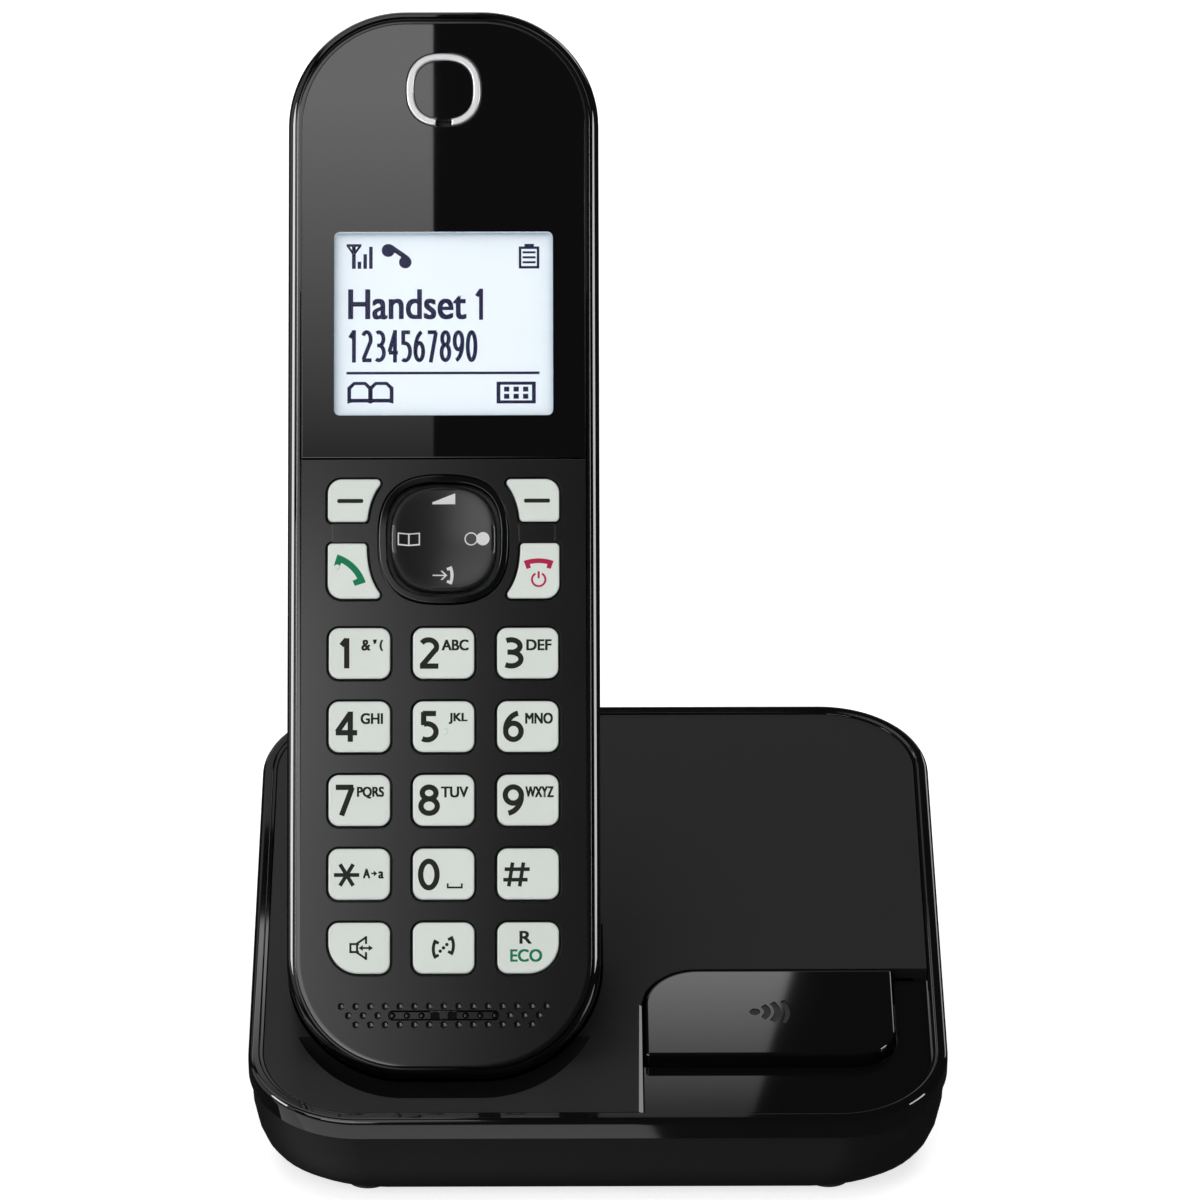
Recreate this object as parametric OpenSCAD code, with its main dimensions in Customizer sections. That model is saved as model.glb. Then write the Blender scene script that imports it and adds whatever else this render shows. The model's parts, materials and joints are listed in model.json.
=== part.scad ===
// Cordless telephone: a handset standing in its charging base.
// Millimetres, +Z up, +Y to the rear, origin on the table under the middle of the object.

/* [Base] */
// Width of the base, side to side
base_w = 109.5; // [108:0.5:112]
// Length of the base's top, measured up its slope
base_l = 107.2; // [105:0.1:112]
// Slope of the base's top, rising to the rear, in degrees
top_slope = 15; // [14.5:0.1:15.5]
// Height of the top's plane above the table at the front
front_h = 15.4; // [15.2:0.1:17]
// Corner radius of the base, seen from above
base_r = 17.5; // [16:0.5:19]
// Width of the glossy rim round the top
rim_w = 2.3; // [2.1:0.1:2.6]
// Depth of the glossy rim's outer band
rim_h = 3.4; // [3.2:0.1:3.6]
// How far the lower shell draws in towards its floor
tub_inset = 6; // [5:0.5:7]

/* [Handset] */
// Width of the handset
handset_w = 49.2; // [48.6:0.1:49.4]
// Length of the handset
handset_l = 169.6; // [168:0.2:174]
// Thickness of the handset at its thickest
handset_t = 27; // [26.4:0.1:27.2]
// Corner radius of the handset's outline
handset_r = 18.6; // [18:0.1:19]
// Angle between the handset and the table, in degrees
handset_lean = 61.5; // [61:0.1:62]
// Depth of the front case, from the face to the parting line
split = 9; // [8.8:0.1:9.4]

/* [Keys] */
// Width of a number key
key_w = 9.6; // [9:0.1:9.9]
// Height of a number key
key_l = 7.95; // [7.5:0.05:8.1]
// Distance between key columns
key_pitch_x = 13.2; // [13:0.05:13.3]
// Distance between key rows
key_pitch_y = 11.6; // [11.4:0.05:11.7]
// How far a key stands proud of the face
key_rise = 0.9; // [0.5:0.1:1.2]
// Gap round a key in its hole
key_gap = 0.25; // [0.2:0.05:0.3]
// How far a key travels when it is pressed
key_travel = 0.8; // [0.6:0.1:0.8]

/* [Display] */
// Width of the visible screen
screen_w = 34.6; // [33:0.1:35.5]
// Height of the visible screen
screen_l = 29.4; // [28:0.1:30]
// Thickness of the glossy lens
lens_t = 1.2; // [1:0.05:1.25]

/* [Locator] */
// Width of the locator button
locator_w = 39.2; // [38:0.1:39.4]
// Length of the locator button, up the slope
locator_l = 21; // [20:0.1:21.2]
// Depth of the glossy ledge below the top
ledge_drop = 2.3; // [2.3:0.1:2.6]
// How far the locator button travels when it is pressed
locator_travel = 1; // [0.6:0.1:1]

/* [Hidden] */
$fn = 48;
eps = 0.01;

// The middle of the whole object lies this far behind the base's front reference line.
mid_y = 54.88;

// Handset placement: its origin is the bottom of its face, at the middle.
handset_x = -24.1;
handset_y = 10.7;
handset_z = 17.5;

// Handset walls and layers. Heights are measured from the face, which is at 0.
wall = 1.8;
face_wall = 2.2;
lens_inset = 2.2;
lens_gap = 0.1;
lens_start = 97.6;
screen_y = 119.1;
ear_y = 156.7;
nav_y = 84.6;
nav_ring_r = 10.15;
nav_pad_r = 8.4;
squareness = 2.7;
mic_y = 9.6;
flange_w = 0.7;
flange_top = -face_wall - 0.1;
flange_t = 0.8;
mat_top = -4.3;
mat_t = 0.6;
dome_top = flange_top - flange_t - key_travel - 0.1;
board_top = -5;
board_t = 1;
back_r = 9;
back_sweep_r = 1000;
back_sweep_y = 70;
key_row_1 = 66.5;
dot_pitch = 2.29;
dot_rows = [[15, 11.04], [14, 9.6], [13, 8.17]];

// Battery compartment and its cover.
tray_w = 22;
tray_l = 50;
tray_y = 63;
tray_floor = -13.4;
cover_w = 31;
cover_y0 = 34;
cover_y1 = 92;
cover_face = -25.2;
cell_r = 5.25;
cell_l = 44.5;
cell_z = -19.2;

// Screws of the handset: [x, y] from the back.
handset_screw_at = [[-18, 143], [18, 143], [-13, 8.5], [13, 8.5]];

// Base placement: the rim's outline on the sloping plane, and the plan on the table.
rim_y0 = -1;
plate_t = 2;
floor_z = 1;
shell_t = 2;
foot_r = 3.3;
foot_at = [[-36, 10.2], [36, 10.2], [-35, 90], [35, 90]];
base_screw_at = [[-42, 58], [42, 50], [0, 88]];
screw_boss_z = 9;
bed_gap = 0.4;
bed_wall = 1.6;
bed_lip = 3.6;
bed_lip_depth = 6;
contact_x = 4.2;
contact_z = -14;

// Locator ledge and button on the sloping plane.
ledge_x0 = 6.95;
ledge_y1 = 36.55;
button_x0 = 7.5;
button_y0 = 15.3;
button_turn = 8.5;
button_turn_front = 6.3;

// Base electronics.
base_board_z = 7;
jack_wall_y = 96;
jack_bay = [[8, 46], [6, 23]];
line_jack_x = 17;
power_jack_x = 37;
jack_z = 14.6;

// Number and function keys: name, column and row.
GRID_KEYS = [
    ["key_1", -1, 0], ["key_2", 0, 0], ["key_3", 1, 0],
    ["key_4", -1, 1], ["key_5", 0, 1], ["key_6", 1, 1],
    ["key_7", -1, 2], ["key_8", 0, 2], ["key_9", 1, 2],
    ["key_star", -1, 3], ["key_0", 0, 3], ["key_hash", 1, 3],
    ["key_speakerphone", -1, 4], ["key_intercom", 0, 4], ["key_recall", 1, 4]
];
// Keys beside the navigation pad: name, side, and lower and upper edge.
SIDE_KEYS = [
    ["soft_key_left", -1, 87.4, 94.1], ["soft_key_right", 1, 87.4, 94.1],
    ["key_talk", -1, 75.2, 83.9], ["key_off", 1, 75.2, 83.9]
];

// ---- Frames ----

// The sloping top of the base: X across, Y up the slope, Z out of the top.
module on_top() {
    translate([0, -mid_y, front_h]) rotate([top_slope, 0, 0]) children();
}

// The table plane, with Y measured from the base's front reference line.
module on_table() {
    translate([0, -mid_y, 0]) children();
}

// The handset: X across, Y along it from its bottom end, Z out of its face.
module on_handset() {
    translate([handset_x, handset_y - mid_y, handset_z])
        rotate([handset_lean, 0, 0]) children();
}

// ---- Flat shapes ----

// Rectangle with four equal round corners, about its middle.
module rounded(w, l, r) {
    square([w - 2 * r, l], center = true);
    square([w, l - 2 * r], center = true);
    for (x = [-1, 1], y = [-1, 1])
        translate([x * (w / 2 - r), y * (l / 2 - r)]) circle(r);
}

// What a round corner of radius r takes off a square one, pointing away from the middle.
module corner_cut(r) {
    difference() {
        translate([-r, -r]) square(r + 1);
        translate([-r, -r]) circle(r);
    }
}

// Rectangle with its own radius at each corner: [left front, right front, left rear, right rear].
module cornered(w, l, radii) {
    difference() {
        square([w, l], center = true);
        for (i = [0:3]) {
            sx = i % 2 == 0 ? -1 : 1;
            sy = i < 2 ? -1 : 1;
            translate([sx * w / 2, sy * l / 2]) flipped(sx, sy) corner_cut(radii[i]);
        }
    }
}

module flipped(sx, sy) {
    mirror([sx < 0 ? 1 : 0, 0]) mirror([0, sy < 0 ? 1 : 0]) children();
}

// Rounded square whose sides swell: a superellipse of half-width r.
module squircle(r, power = squareness) {
    steps = 96;
    polygon([
        for (i = [0:steps - 1])
            let (c = cos(360 * i / steps), s = sin(360 * i / steps))
            [r * sign(c) * pow(abs(c), 2 / power), r * sign(s) * pow(abs(s), 2 / power)]
    ]);
}

module handset_outline(grow = 0) {
    translate([0, handset_l / 2])
        rounded(handset_w + 2 * grow, handset_l + 2 * grow, handset_r + grow);
}

// Slab on Z = 0 whose upper edge is rounded by e.
module soft_slab(w, l, r, h, e) {
    linear_extrude(h - e) rounded(w, l, r);
    linear_extrude(h) rounded(w - 2 * e, l - 2 * e, r - e);
    for (x = [-1, 1], y = [-1, 1])
        translate([x * (w / 2 - r), y * (l / 2 - r), h - e])
            rotate_extrude() {
                square([r - e, e]);
                translate([r - e, 0]) intersection() {
                    circle(e);
                    square(e);
                }
            }
    for (x = [-1, 1])
        translate([x * (w / 2 - e), l / 2 - r, h - e]) rotate([90, 0, 0]) cylinder(r = e, h = l - 2 * r);
    for (y = [-1, 1])
        translate([r - w / 2, y * (l / 2 - e), h - e]) rotate([0, 90, 0]) cylinder(r = e, h = w - 2 * r);
}

// ---- Handset shells ----

// Everything in front of the handset's back, drawn in Y and Z: the back is a long shallow curve.
module back_sweep(grow) {
    steps = 24;
    past = 20;
    run = handset_l + 2 * past;
    polygon(concat(
        [[run - past, 60], [-past, 60]],
        [
            for (i = [0:steps])
                let (y = i * run / steps - past)
                [y, pow(y - back_sweep_y, 2) / (2 * back_sweep_r) - handset_t - grow]
        ]
    ));
}

// The handset's side view, from face to back, drawn in Y and Z.
module side_view(grow) {
    intersection() {
        translate([handset_l / 2, 0])
            rounded(handset_l + 2 * grow, 2 * (handset_t + grow), back_r + grow);
        back_sweep(grow);
    }
}

// The handset's outer form behind its face, or one offset from it by grow.
module handset_form(grow = 0) {
    depth = handset_t + grow;
    intersection() {
        translate([0, 0, -depth]) linear_extrude(depth) handset_outline(grow);
        translate([-handset_w / 2 - grow - 1, 0, 0]) rotate([90, 0, 90])
            linear_extrude(handset_w + 2 * grow + 2) side_view(grow);
        translate([0, handset_l + grow + 1, 0]) rotate([90, 0, 0])
            linear_extrude(handset_l + 2 * grow + 2)
            rounded(handset_w + 2 * grow, 2 * depth, back_r + grow);
    }
}

module grid_key_outline(column, row, grow) {
    turn = 4.8;
    r = 1.6;
    front_left = column == -1 && row == 4 ? turn : r;
    front_right = column == 1 && row == 4 ? turn : r;
    translate([column * key_pitch_x, key_row_1 - row * key_pitch_y])
        cornered(key_w + 2 * grow, key_l + 2 * grow,
            [front_left + grow, front_right + grow, r + grow, r + grow]);
}

// A key beside the navigation pad: its inner edge runs round the pad.
module side_key_outline(side, y0, y1, grow) {
    outer_x = 18.2;
    inner_x = 9.2;
    soften = 0.6;
    upper = y0 > nav_y;
    big = 2.2;
    small = 0.7;
    mirror([side > 0 ? 0 : 1, 0])
        offset(r = soften + grow) offset(delta = -soften)
        difference() {
            translate([(outer_x + inner_x) / 2, (y0 + y1) / 2])
                cornered(outer_x - inner_x, y1 - y0,
                    [small, upper ? small : big, small, upper ? big : small]);
            translate([0, nav_y]) squircle(nav_ring_r + 1.95);
        }
}

module all_key_outlines(grow) {
    for (k = GRID_KEYS) grid_key_outline(k[1], k[2], grow);
    for (k = SIDE_KEYS) side_key_outline(k[1], k[2], k[3], grow);
}

module lens_outline(grow) {
    intersection() {
        handset_outline(-lens_inset + grow);
        translate([-handset_w, lens_start - grow]) square([2 * handset_w, handset_l]);
    }
}

module microphone_cuts() {
    slot_w = 17.3;
    slot_l = 1.5;
    hole = 1.3;
    for (row = dot_rows, i = [0:row[0] - 1]) {
        x = (i - (row[0] - 1) / 2) * dot_pitch;
        translate([x, row[1], -0.3]) cylinder(d = 1, h = 1, $fn = 24);
    }
    translate([0, mic_y, -0.4]) linear_extrude(1) rounded(slot_w, slot_l, slot_l / 2 - eps);
    for (x = [-1, 1])
        translate([x * 1.35 - hole / 2, mic_y - hole / 2, -face_wall - 1]) cube([hole, hole, face_wall + 2]);
}

module handset_front_case() {
    color("#26272a") difference() {
        union() {
            difference() {
                translate([0, handset_l / 2, -split])
                    soft_slab(handset_w, handset_l, handset_r, split, 1.5);
                translate([0, 0, -split - eps])
                    linear_extrude(split - face_wall + eps) handset_outline(-wall);
            }
            for (p = handset_screw_at)
                translate([p[0], p[1], -split]) cylinder(r = 2.2, h = split - 1);
        }
        translate([0, 0, -lens_t - 0.1]) linear_extrude(3) lens_outline(lens_gap);
        translate([0, screen_y, -split]) linear_extrude(split + 1)
            rounded(screen_w + 1.6, screen_l + 1.6, 0.8);
        translate([0, ear_y - 5.4, -split]) cylinder(r = 2, h = split + 1);
        translate([0, 0, -face_wall - 1]) linear_extrude(face_wall + 2) all_key_outlines(key_gap);
        translate([0, nav_y, -face_wall - 1]) linear_extrude(face_wall + 2) squircle(nav_ring_r + 0.1);
        microphone_cuts();
        for (p = handset_screw_at)
            translate([p[0], p[1], -split - eps]) cylinder(r = 0.9, h = 6);
    }
}

module handset_rear_case() {
    ledge = 1.4;
    color("#202124") difference() {
        union() {
            difference() {
                rear_half(0);
                rear_half(-wall);
            }
            intersection() {
                rear_half(-0.3);
                union() {
                    translate([0, (cover_y0 + cover_y1) / 2, cover_face - 1])
                        linear_extrude(1 + ledge)
                        square([cover_w + 4, cover_y1 - cover_y0 + 4], center = true);
                    translate([0, tray_y, cover_face - 1]) linear_extrude(tray_floor + 1.2 - cover_face + 1)
                        square([tray_w + 2.6, tray_l + 2.6], center = true);
                    for (p = handset_screw_at)
                        translate([p[0], p[1], -handset_t]) cylinder(r = 3.6, h = handset_t - split);
                }
            }
        }
        translate([0, tray_y, -handset_t - 5]) linear_extrude(tray_floor + handset_t + 5)
            square([tray_w, tray_l], center = true);
        translate([-cover_w / 2 - 0.2, cover_y0 - 0.2, -handset_t - 5])
            cube([cover_w + 0.4, cover_y1 - cover_y0 + 0.4, cover_face + 0.05 + handset_t + 5]);
        for (x = [-8, 8])
            translate([x - 2.3, cover_y0 - 2.1, cover_face - eps]) cube([4.6, 6, 4]);
        translate([-4.3, cover_y1 - 1.9, cover_face - eps]) cube([8.6, 1.8, 2.6]);
        translate([0, cover_y1 + 1, -handset_t - 1]) cylinder(r = 5, h = 1.9);
        for (i = [-2:2])
            translate([0, 118 + i * 3, -handset_t - 1]) linear_extrude(4) rounded(14, 1.2, 0.59);
        for (p = handset_screw_at) {
            translate([p[0], p[1], -handset_t - 1]) cylinder(r = 2.5, h = handset_t + 1 - 14);
            translate([p[0], p[1], -15]) cylinder(r = 1.1, h = 7);
        }
        for (x = [-1, 1])
            translate([x * contact_x - 1.7, -1, contact_z - 2.6]) cube([3.4, 1.6, 5.2]);
    }
}

// The part of the handset's form behind the parting line.
module rear_half(grow) {
    intersection() {
        handset_form(grow);
        translate([-handset_w, -5, -handset_t - 5])
            cube([2 * handset_w, handset_l + 10, handset_t + 5 - split]);
    }
}

// The cover tips out about its lower outer edge; two hooks and a snap tongue hold it.
module battery_cover() {
    color("#202124") {
        intersection() {
            translate([-cover_w / 2, cover_y0, -handset_t - 1])
                cube([cover_w, cover_y1 - cover_y0, cover_face + handset_t + 1]);
            translate([-handset_w, 0, 0]) rotate([90, 0, 90]) linear_extrude(2 * handset_w) back_sweep(0);
        }
        for (x = [-8, 8]) translate([x - 2, 0, 0]) {
            translate([0, cover_y0 + 0.2, cover_face - eps]) cube([4, 1.8, 1.55]);
            translate([0, cover_y0 - 1.8, cover_face + 0.85]) cube([4, 3.8, 0.7]);
        }
        translate([-4, cover_y1 - 1.6, cover_face - eps]) cube([8, 1.2, 2.2]);
    }
}

module battery_cells() {
    for (side = [-1, 1])
        translate([side * (cell_r + 0.1), tray_y + side * cell_l / 2, cell_z]) rotate([side * 90, 0, 0])
            color("#c9ccd0") {
                cylinder(r = cell_r, h = cell_l - 1);
                translate([0, 0, cell_l - 1 - eps]) cylinder(r = 1.8, h = 1);
            }
}

module battery_contacts() {
    plate = [8.6, 0.4, 9];
    for (end = [-1, 1], x = [-1, 1])
        translate([x * 5.4, tray_y + end * (tray_l / 2 - 0.35), cell_z]) color("#b9a77a") {
            cube(plate, center = true);
            translate([0, -end * 1.1, 0]) rotate([90, 0, 0]) cylinder(r = 2.2, h = 1.9, center = true);
        }
}

module screen_lens() {
    color("#050506") difference() {
        translate([0, 0, -lens_t]) linear_extrude(lens_t) lens_outline(0);
        translate([0, 0, -0.6]) linear_extrude(1) ear_ring_outline(0.05);
        translate([0, ear_y - 5.4, -2]) linear_extrude(3) rounded(2.4, 0.9, 0.4);
    }
}

// Band of the earpiece ring, open at its lower middle.
module ear_ring_outline(grow) {
    translate([0, ear_y]) difference() {
        squircle(5.85 + grow, 2.5);
        squircle(4.75 - grow, 2.5);
        translate([grow - 1.27, -7]) square([2.54 - 2 * grow, 4]);
    }
}

module earpiece_ring() {
    color("#c8cacd") translate([0, 0, -0.58]) linear_extrude(0.83) ear_ring_outline(0);
}

module receiver() {
    color("#55585c") translate([0, ear_y - 0.3, -6.6]) {
        cylinder(r = 9.5, h = 3.2);
        cylinder(r = 8, h = 4.3);
    }
}

module microphone() {
    color("#a5a7aa") translate([0, mic_y, -4.2]) cylinder(r = 2.2, h = 1.9);
}

module loudspeaker() {
    color("#3c3e42") translate([0, 118, -22.9]) {
        cylinder(r = 10, h = 2.4);
        cylinder(r = 5.5, h = 5.2);
    }
}

module lcd_panel() {
    color("#dfeaf0") translate([0, screen_y, -3.25]) linear_extrude(0.95)
        square([screen_w + 1.2, screen_l + 1.2], center = true);
}

module lcd_frame() {
    color("#d8d8d4") difference() {
        translate([0, screen_y, -4.9]) linear_extrude(2.6) square([38, 34], center = true);
        translate([0, screen_y, -3.27]) linear_extrude(2)
            square([screen_w + 1.3, screen_l + 1.3], center = true);
    }
}

module keypad_mat() {
    color("#8f9490") {
        translate([0, 55.5, mat_top - mat_t]) linear_extrude(mat_t) rounded(41, 84, 6);
        translate([0, 0, mat_top - eps]) linear_extrude(dome_top - mat_top + eps) {
            for (k = GRID_KEYS) translate([k[1] * key_pitch_x, key_row_1 - k[2] * key_pitch_y]) circle(2.6);
            for (k = SIDE_KEYS) translate([k[1] * 14.9, (k[2] + k[3]) / 2]) circle(2.2);
            for (a = [0:90:270]) translate([5.6 * cos(a), nav_y + 5.6 * sin(a)]) circle(1.6);
        }
    }
}

module handset_board() {
    color("#1f5c3a") {
        translate([0, 75, board_top - board_t]) linear_extrude(board_t) rounded(41, 128, 3);
        translate([-11, 96, board_top - board_t - 2.2]) cube([22, 26, 2.3]);
        translate([-8, 22, board_top - board_t - 1.2]) cube([16, 16, 1.3]);
    }
}

module handset_charge_contacts() {
    for (x = [-1, 1])
        color("#c9a24a") translate([x * contact_x - 1.6, 0, contact_z - 2.5]) cube([3.2, 0.5, 5]);
}

module handset_screws() {
    for (p = handset_screw_at)
        color("#8d9094") translate([p[0], p[1], -15.5]) {
            difference() {
                cylinder(r = 2.2, h = 1.5);
                translate([-1.4, -0.3, -1]) cube([2.8, 0.6, 1.7]);
                translate([-0.3, -1.4, -1]) cube([0.6, 2.8, 1.7]);
            }
            cylinder(r = 0.85, h = 11);
        }
}

// ---- Keys and navigation pad ----

module key_cap() {
    translate([0, 0, flange_top - eps]) linear_extrude(key_rise - flange_top + eps) children(0);
    translate([0, 0, flange_top - flange_t]) linear_extrude(flange_t) children(1);
}

module grid_key(column, row) {
    color("#dfe3dc") key_cap() {
        grid_key_outline(column, row, 0);
        grid_key_outline(column, row, flange_w);
    }
}

module side_key(side, y0, y1) {
    color("#dfe3dc") key_cap() {
        side_key_outline(side, y0, y1, 0);
        side_key_outline(side, y0, y1, flange_w);
    }
}

module nav_ring() {
    inner = nav_pad_r + 0.5;
    color("#0b0b0c") translate([0, nav_y, 0]) difference() {
        union() {
            translate([0, 0, flange_top]) linear_extrude(0.55 - flange_top) squircle(nav_ring_r);
            translate([0, 0, flange_top - 0.6]) linear_extrude(0.6) squircle(nav_ring_r + 0.85);
        }
        translate([0, 0, -5]) linear_extrude(8) squircle(inner);
    }
}

module nav_pad() {
    dish_r = 60;
    color("#2c2d30") translate([0, nav_y, 0]) difference() {
        translate([0, 0, -2.6]) linear_extrude(3.6) squircle(nav_pad_r);
        translate([0, 0, 0.5 + dish_r]) sphere(dish_r);
    }
}

module nav_pivot() {
    color("#8f9490") translate([0, nav_y, -4.2]) cylinder(r = 1.2, h = 1.45);
}

// ---- Base ----

// Outline of the sloping top, drawn in by inset.
module top_outline(inset) {
    translate([0, rim_y0 + base_l / 2])
        rounded(base_w - 2 * inset, base_l - 2 * inset, base_r - inset);
}

module base_rim() {
    lift = 0.25;
    color("#0a0a0b") difference() {
        translate([0, rim_y0 + base_l / 2, -rim_h]) soft_slab(base_w, base_l, base_r, rim_h + lift, 0.9);
        translate([0, 0, -rim_h - 1]) linear_extrude(rim_h - ledge_drop + 1.1) top_outline(0.7);
        translate([0, 0, -rim_h]) linear_extrude(rim_h + 1) top_outline(rim_w);
    }
}

// The bed that the handset stands in, or with grow its outside.
module bed(grow) {
    intersection() {
        translate([0, 0, -handset_t - bed_gap - grow]) linear_extrude(handset_t + 40)
            handset_outline(bed_gap + grow);
        translate([-handset_w, 0, 0]) rotate([90, 0, 90]) linear_extrude(2 * handset_w)
            bed_side_view(bed_gap + grow);
    }
    translate([0, 0, -bed_lip_depth - grow]) linear_extrude(40) translate([0, handset_l / 2 - bed_lip / 2])
        rounded(handset_w + 2 * (bed_gap + grow), handset_l + bed_lip + 2 * grow, handset_r + bed_gap + grow);
}

// The side view of the bed: the handset's own, with its front and top open.
module bed_side_view(grow) {
    side_view(grow);
    translate([-grow, -handset_t / 2]) square([handset_l, handset_t * 2]);
    translate([handset_l / 4, -handset_t - grow + 0.6]) square([handset_l, handset_t * 2]);
}

module base_top_case() {
    below = 0.4;
    color("#232226") difference() {
        union() {
            on_top() {
                translate([0, 0, -plate_t]) linear_extrude(plate_t) top_outline(rim_w + 0.15);
                difference() {
                    union() {
                        translate([0, 0, -rim_h]) linear_extrude(rim_h - ledge_drop) top_outline(0.85);
                        translate([0, 0, -rim_h]) linear_extrude(rim_h - eps) top_outline(rim_w + 0.15);
                    }
                    translate([0, 0, -rim_h - 1]) linear_extrude(rim_h - plate_t + 1)
                        top_outline(rim_w + 2.2);
                }
            }
            intersection() {
                on_handset() bed(bed_wall);
                under_top(plate_t / 2);
            }
            intersection() {
                on_table() for (p = base_screw_at)
                    translate([p[0], p[1], screw_boss_z]) cylinder(r = 3.2, h = 60);
                under_top(plate_t / 2);
            }
        }
        on_handset() bed(0);
        on_top() ledge_space();
        on_table() for (p = base_screw_at)
            translate([p[0], p[1], screw_boss_z - eps]) cylinder(r = 1.25, h = 10);
        for (x = [-1, 1])
            on_handset() translate([x * contact_x, -6, contact_z]) rotate([-90, 0, 0])
                cylinder(r = 1.25, h = 7);
    }
}

// Everything below the sloping top, less depth.
module under_top(depth) {
    on_top() translate([-base_w, -base_l / 2, -60 - depth]) cube([2 * base_w, 2 * base_l, 60]);
}

// The corner of the top that holds the ledge and its button.
module ledge_space() {
    w = base_w / 2 + 1 - ledge_x0;
    l = ledge_y1 - rim_y0 + 1;
    translate([ledge_x0 + w / 2, rim_y0 - 1 + l / 2, -rim_h - 1]) linear_extrude(rim_h + 3)
        cornered(w, l, [0.1, 0.1, 9, 0.1]);
}

module locator_panel() {
    color("#070708") intersection() {
        translate([0, 0, -rim_h]) linear_extrude(rim_h - ledge_drop) difference() {
            intersection() {
                top_outline(0.85);
                translate([ledge_x0 + 0.15, rim_y0]) square([base_w, ledge_y1 - rim_y0 - 0.15]);
            }
            translate([0, 20]) translate([button_x0 + locator_w + 0.3 - 50, button_y0 - 0.3])
                translate([25, 5]) cornered(50, 50, [0.1, button_turn_front + 0.3, 0.1, 0.1]);
        }
    }
}

module locator_outline(grow) {
    translate([button_x0 + locator_w / 2, button_y0 + locator_l / 2])
        cornered(locator_w + 2 * grow, locator_l + 2 * grow,
            [0.5, button_turn_front + grow, button_turn + grow, 0.5]);
}

module locator_button() {
    stem_tip = -8 - locator_travel;
    flange = -rim_h - 0.3;
    color("#0b0b0d") {
        translate([0, 0, flange - eps]) linear_extrude(-flange + eps) locator_outline(0);
        translate([0, 0, flange - 0.9]) linear_extrude(0.9) locator_outline(0.9);
        translate([button_x0 + locator_w / 2, button_y0 + locator_l / 2, stem_tip])
            cylinder(r = 2, h = -stem_tip - 4);
    }
}

// One level of the lower shell: t runs from 0 under the rim to 1 at the floor.
module tub_level(t, inset, floor) {
    under = -rim_h - 0.05;
    top_front = front_h + under / cos(top_slope);
    slope = tan(top_slope) * (1 - t);
    z = top_front + (floor - top_front) * t;
    draw = inset + tub_inset * (1 - sqrt(1 - t * t));
    plan_l = base_l * cos(top_slope);
    plan_y = rim_y0 * cos(top_slope) + rim_h * sin(top_slope);
    multmatrix([[1, 0, 0, 0], [0, 1, 0, 0], [0, slope, 1, z], [0, 0, 0, 1]])
        linear_extrude(0.02) translate([0, plan_y + plan_l / 2])
        rounded(base_w - 0.8 - 2 * draw, plan_l - 0.8 - 2 * draw, base_r - 0.4 - inset);
}

module tub(inset, floor) {
    hull() for (t = [0, 0.3, 0.55, 0.75, 0.88, 0.96, 1]) tub_level(t, inset, floor);
}

module base_bottom_case() {
    bay_w = jack_bay[0][1] - jack_bay[0][0];
    bay_h = jack_bay[1][1] - jack_bay[1][0];
    color("#141416") on_table() difference() {
        union() {
            difference() {
                tub(0, floor_z);
                translate([0, 0, eps]) tub(shell_t, floor_z + shell_t);
            }
            intersection() {
                tub(0.3, floor_z + 0.3);
                union() {
                    translate([jack_bay[0][0] - 2, jack_wall_y - 2, 2]) cube([bay_w + 4, 12, jack_bay[1][1]]);
                    for (p = base_screw_at)
                        translate([p[0], p[1], 0]) cylinder(r = 4.4, h = screw_boss_z - 0.1);
                    for (p = [[9, 30], [14, 86], [44, 38]])
                        translate([p[0], p[1], 2]) cylinder(r = 2.4, h = base_board_z - 2);
                }
            }
        }
        translate([jack_bay[0][0], jack_wall_y, jack_bay[1][0]]) cube([bay_w, 20, bay_h]);
        translate([line_jack_x - 5.3, jack_wall_y - 5, jack_z - 5]) cube([10.6, 10, 10]);
        translate([power_jack_x, jack_wall_y - 5, jack_z]) rotate([-90, 0, 0]) cylinder(r = 4.2, h = 10);
        for (p = foot_at) translate([p[0], p[1], -1]) cylinder(r = foot_r + 0.15, h = floor_z + 2.2);
        for (p = base_screw_at) {
            translate([p[0], p[1], -1]) cylinder(r = 3, h = 5);
            translate([p[0], p[1], -1]) cylinder(r = 1.6, h = 20);
        }
    }
}

module base_feet() {
    for (p = foot_at)
        color("#2e2e30") on_table() translate([p[0], p[1], 0]) cylinder(r = foot_r, h = floor_z + 1.15);
}

module base_screws() {
    for (p = base_screw_at)
        color("#8d9094") on_table() translate([p[0], p[1], 2.2]) {
            difference() {
                cylinder(r = 2.7, h = 1.8);
                translate([-1.7, -0.35, -1]) cube([3.4, 0.7, 1.9]);
                translate([-0.35, -1.7, -1]) cube([0.7, 3.4, 1.9]);
            }
            cylinder(r = 1.2, h = 14);
        }
}

module base_board() {
    color("#1f5c3a") on_table() {
        difference() {
            translate([5, 21, base_board_z]) cube([40, 69, 1.6]);
            translate([42, 50, 0]) cylinder(r = 4.8, h = 20);
        }
        translate([10, 52, base_board_z + 1.5]) cube([22, 24, 2.6]);
    }
}

module locator_switch() {
    at_y = 27.4;
    color("#3a3c40") on_table() translate([button_x0 + locator_w / 2, at_y, base_board_z + 1.6]) {
        translate([-3, -3, 0]) cube([6, 6, 2.8]);
        cylinder(r = 1.6, h = 3.4);
    }
}

// A sprung pin in the floor of the bed, held in by its flange.
module charge_pin(side) {
    color("#c9a24a") translate([side * contact_x, -4.4, contact_z]) rotate([-90, 0, 0]) {
        cylinder(r = 1.15, h = 3.6);
        translate([0, 0, 1.4]) cylinder(r = 1.7, h = 0.6);
        translate([0, 0, 3.2]) sphere(1.1);
    }
}

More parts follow.
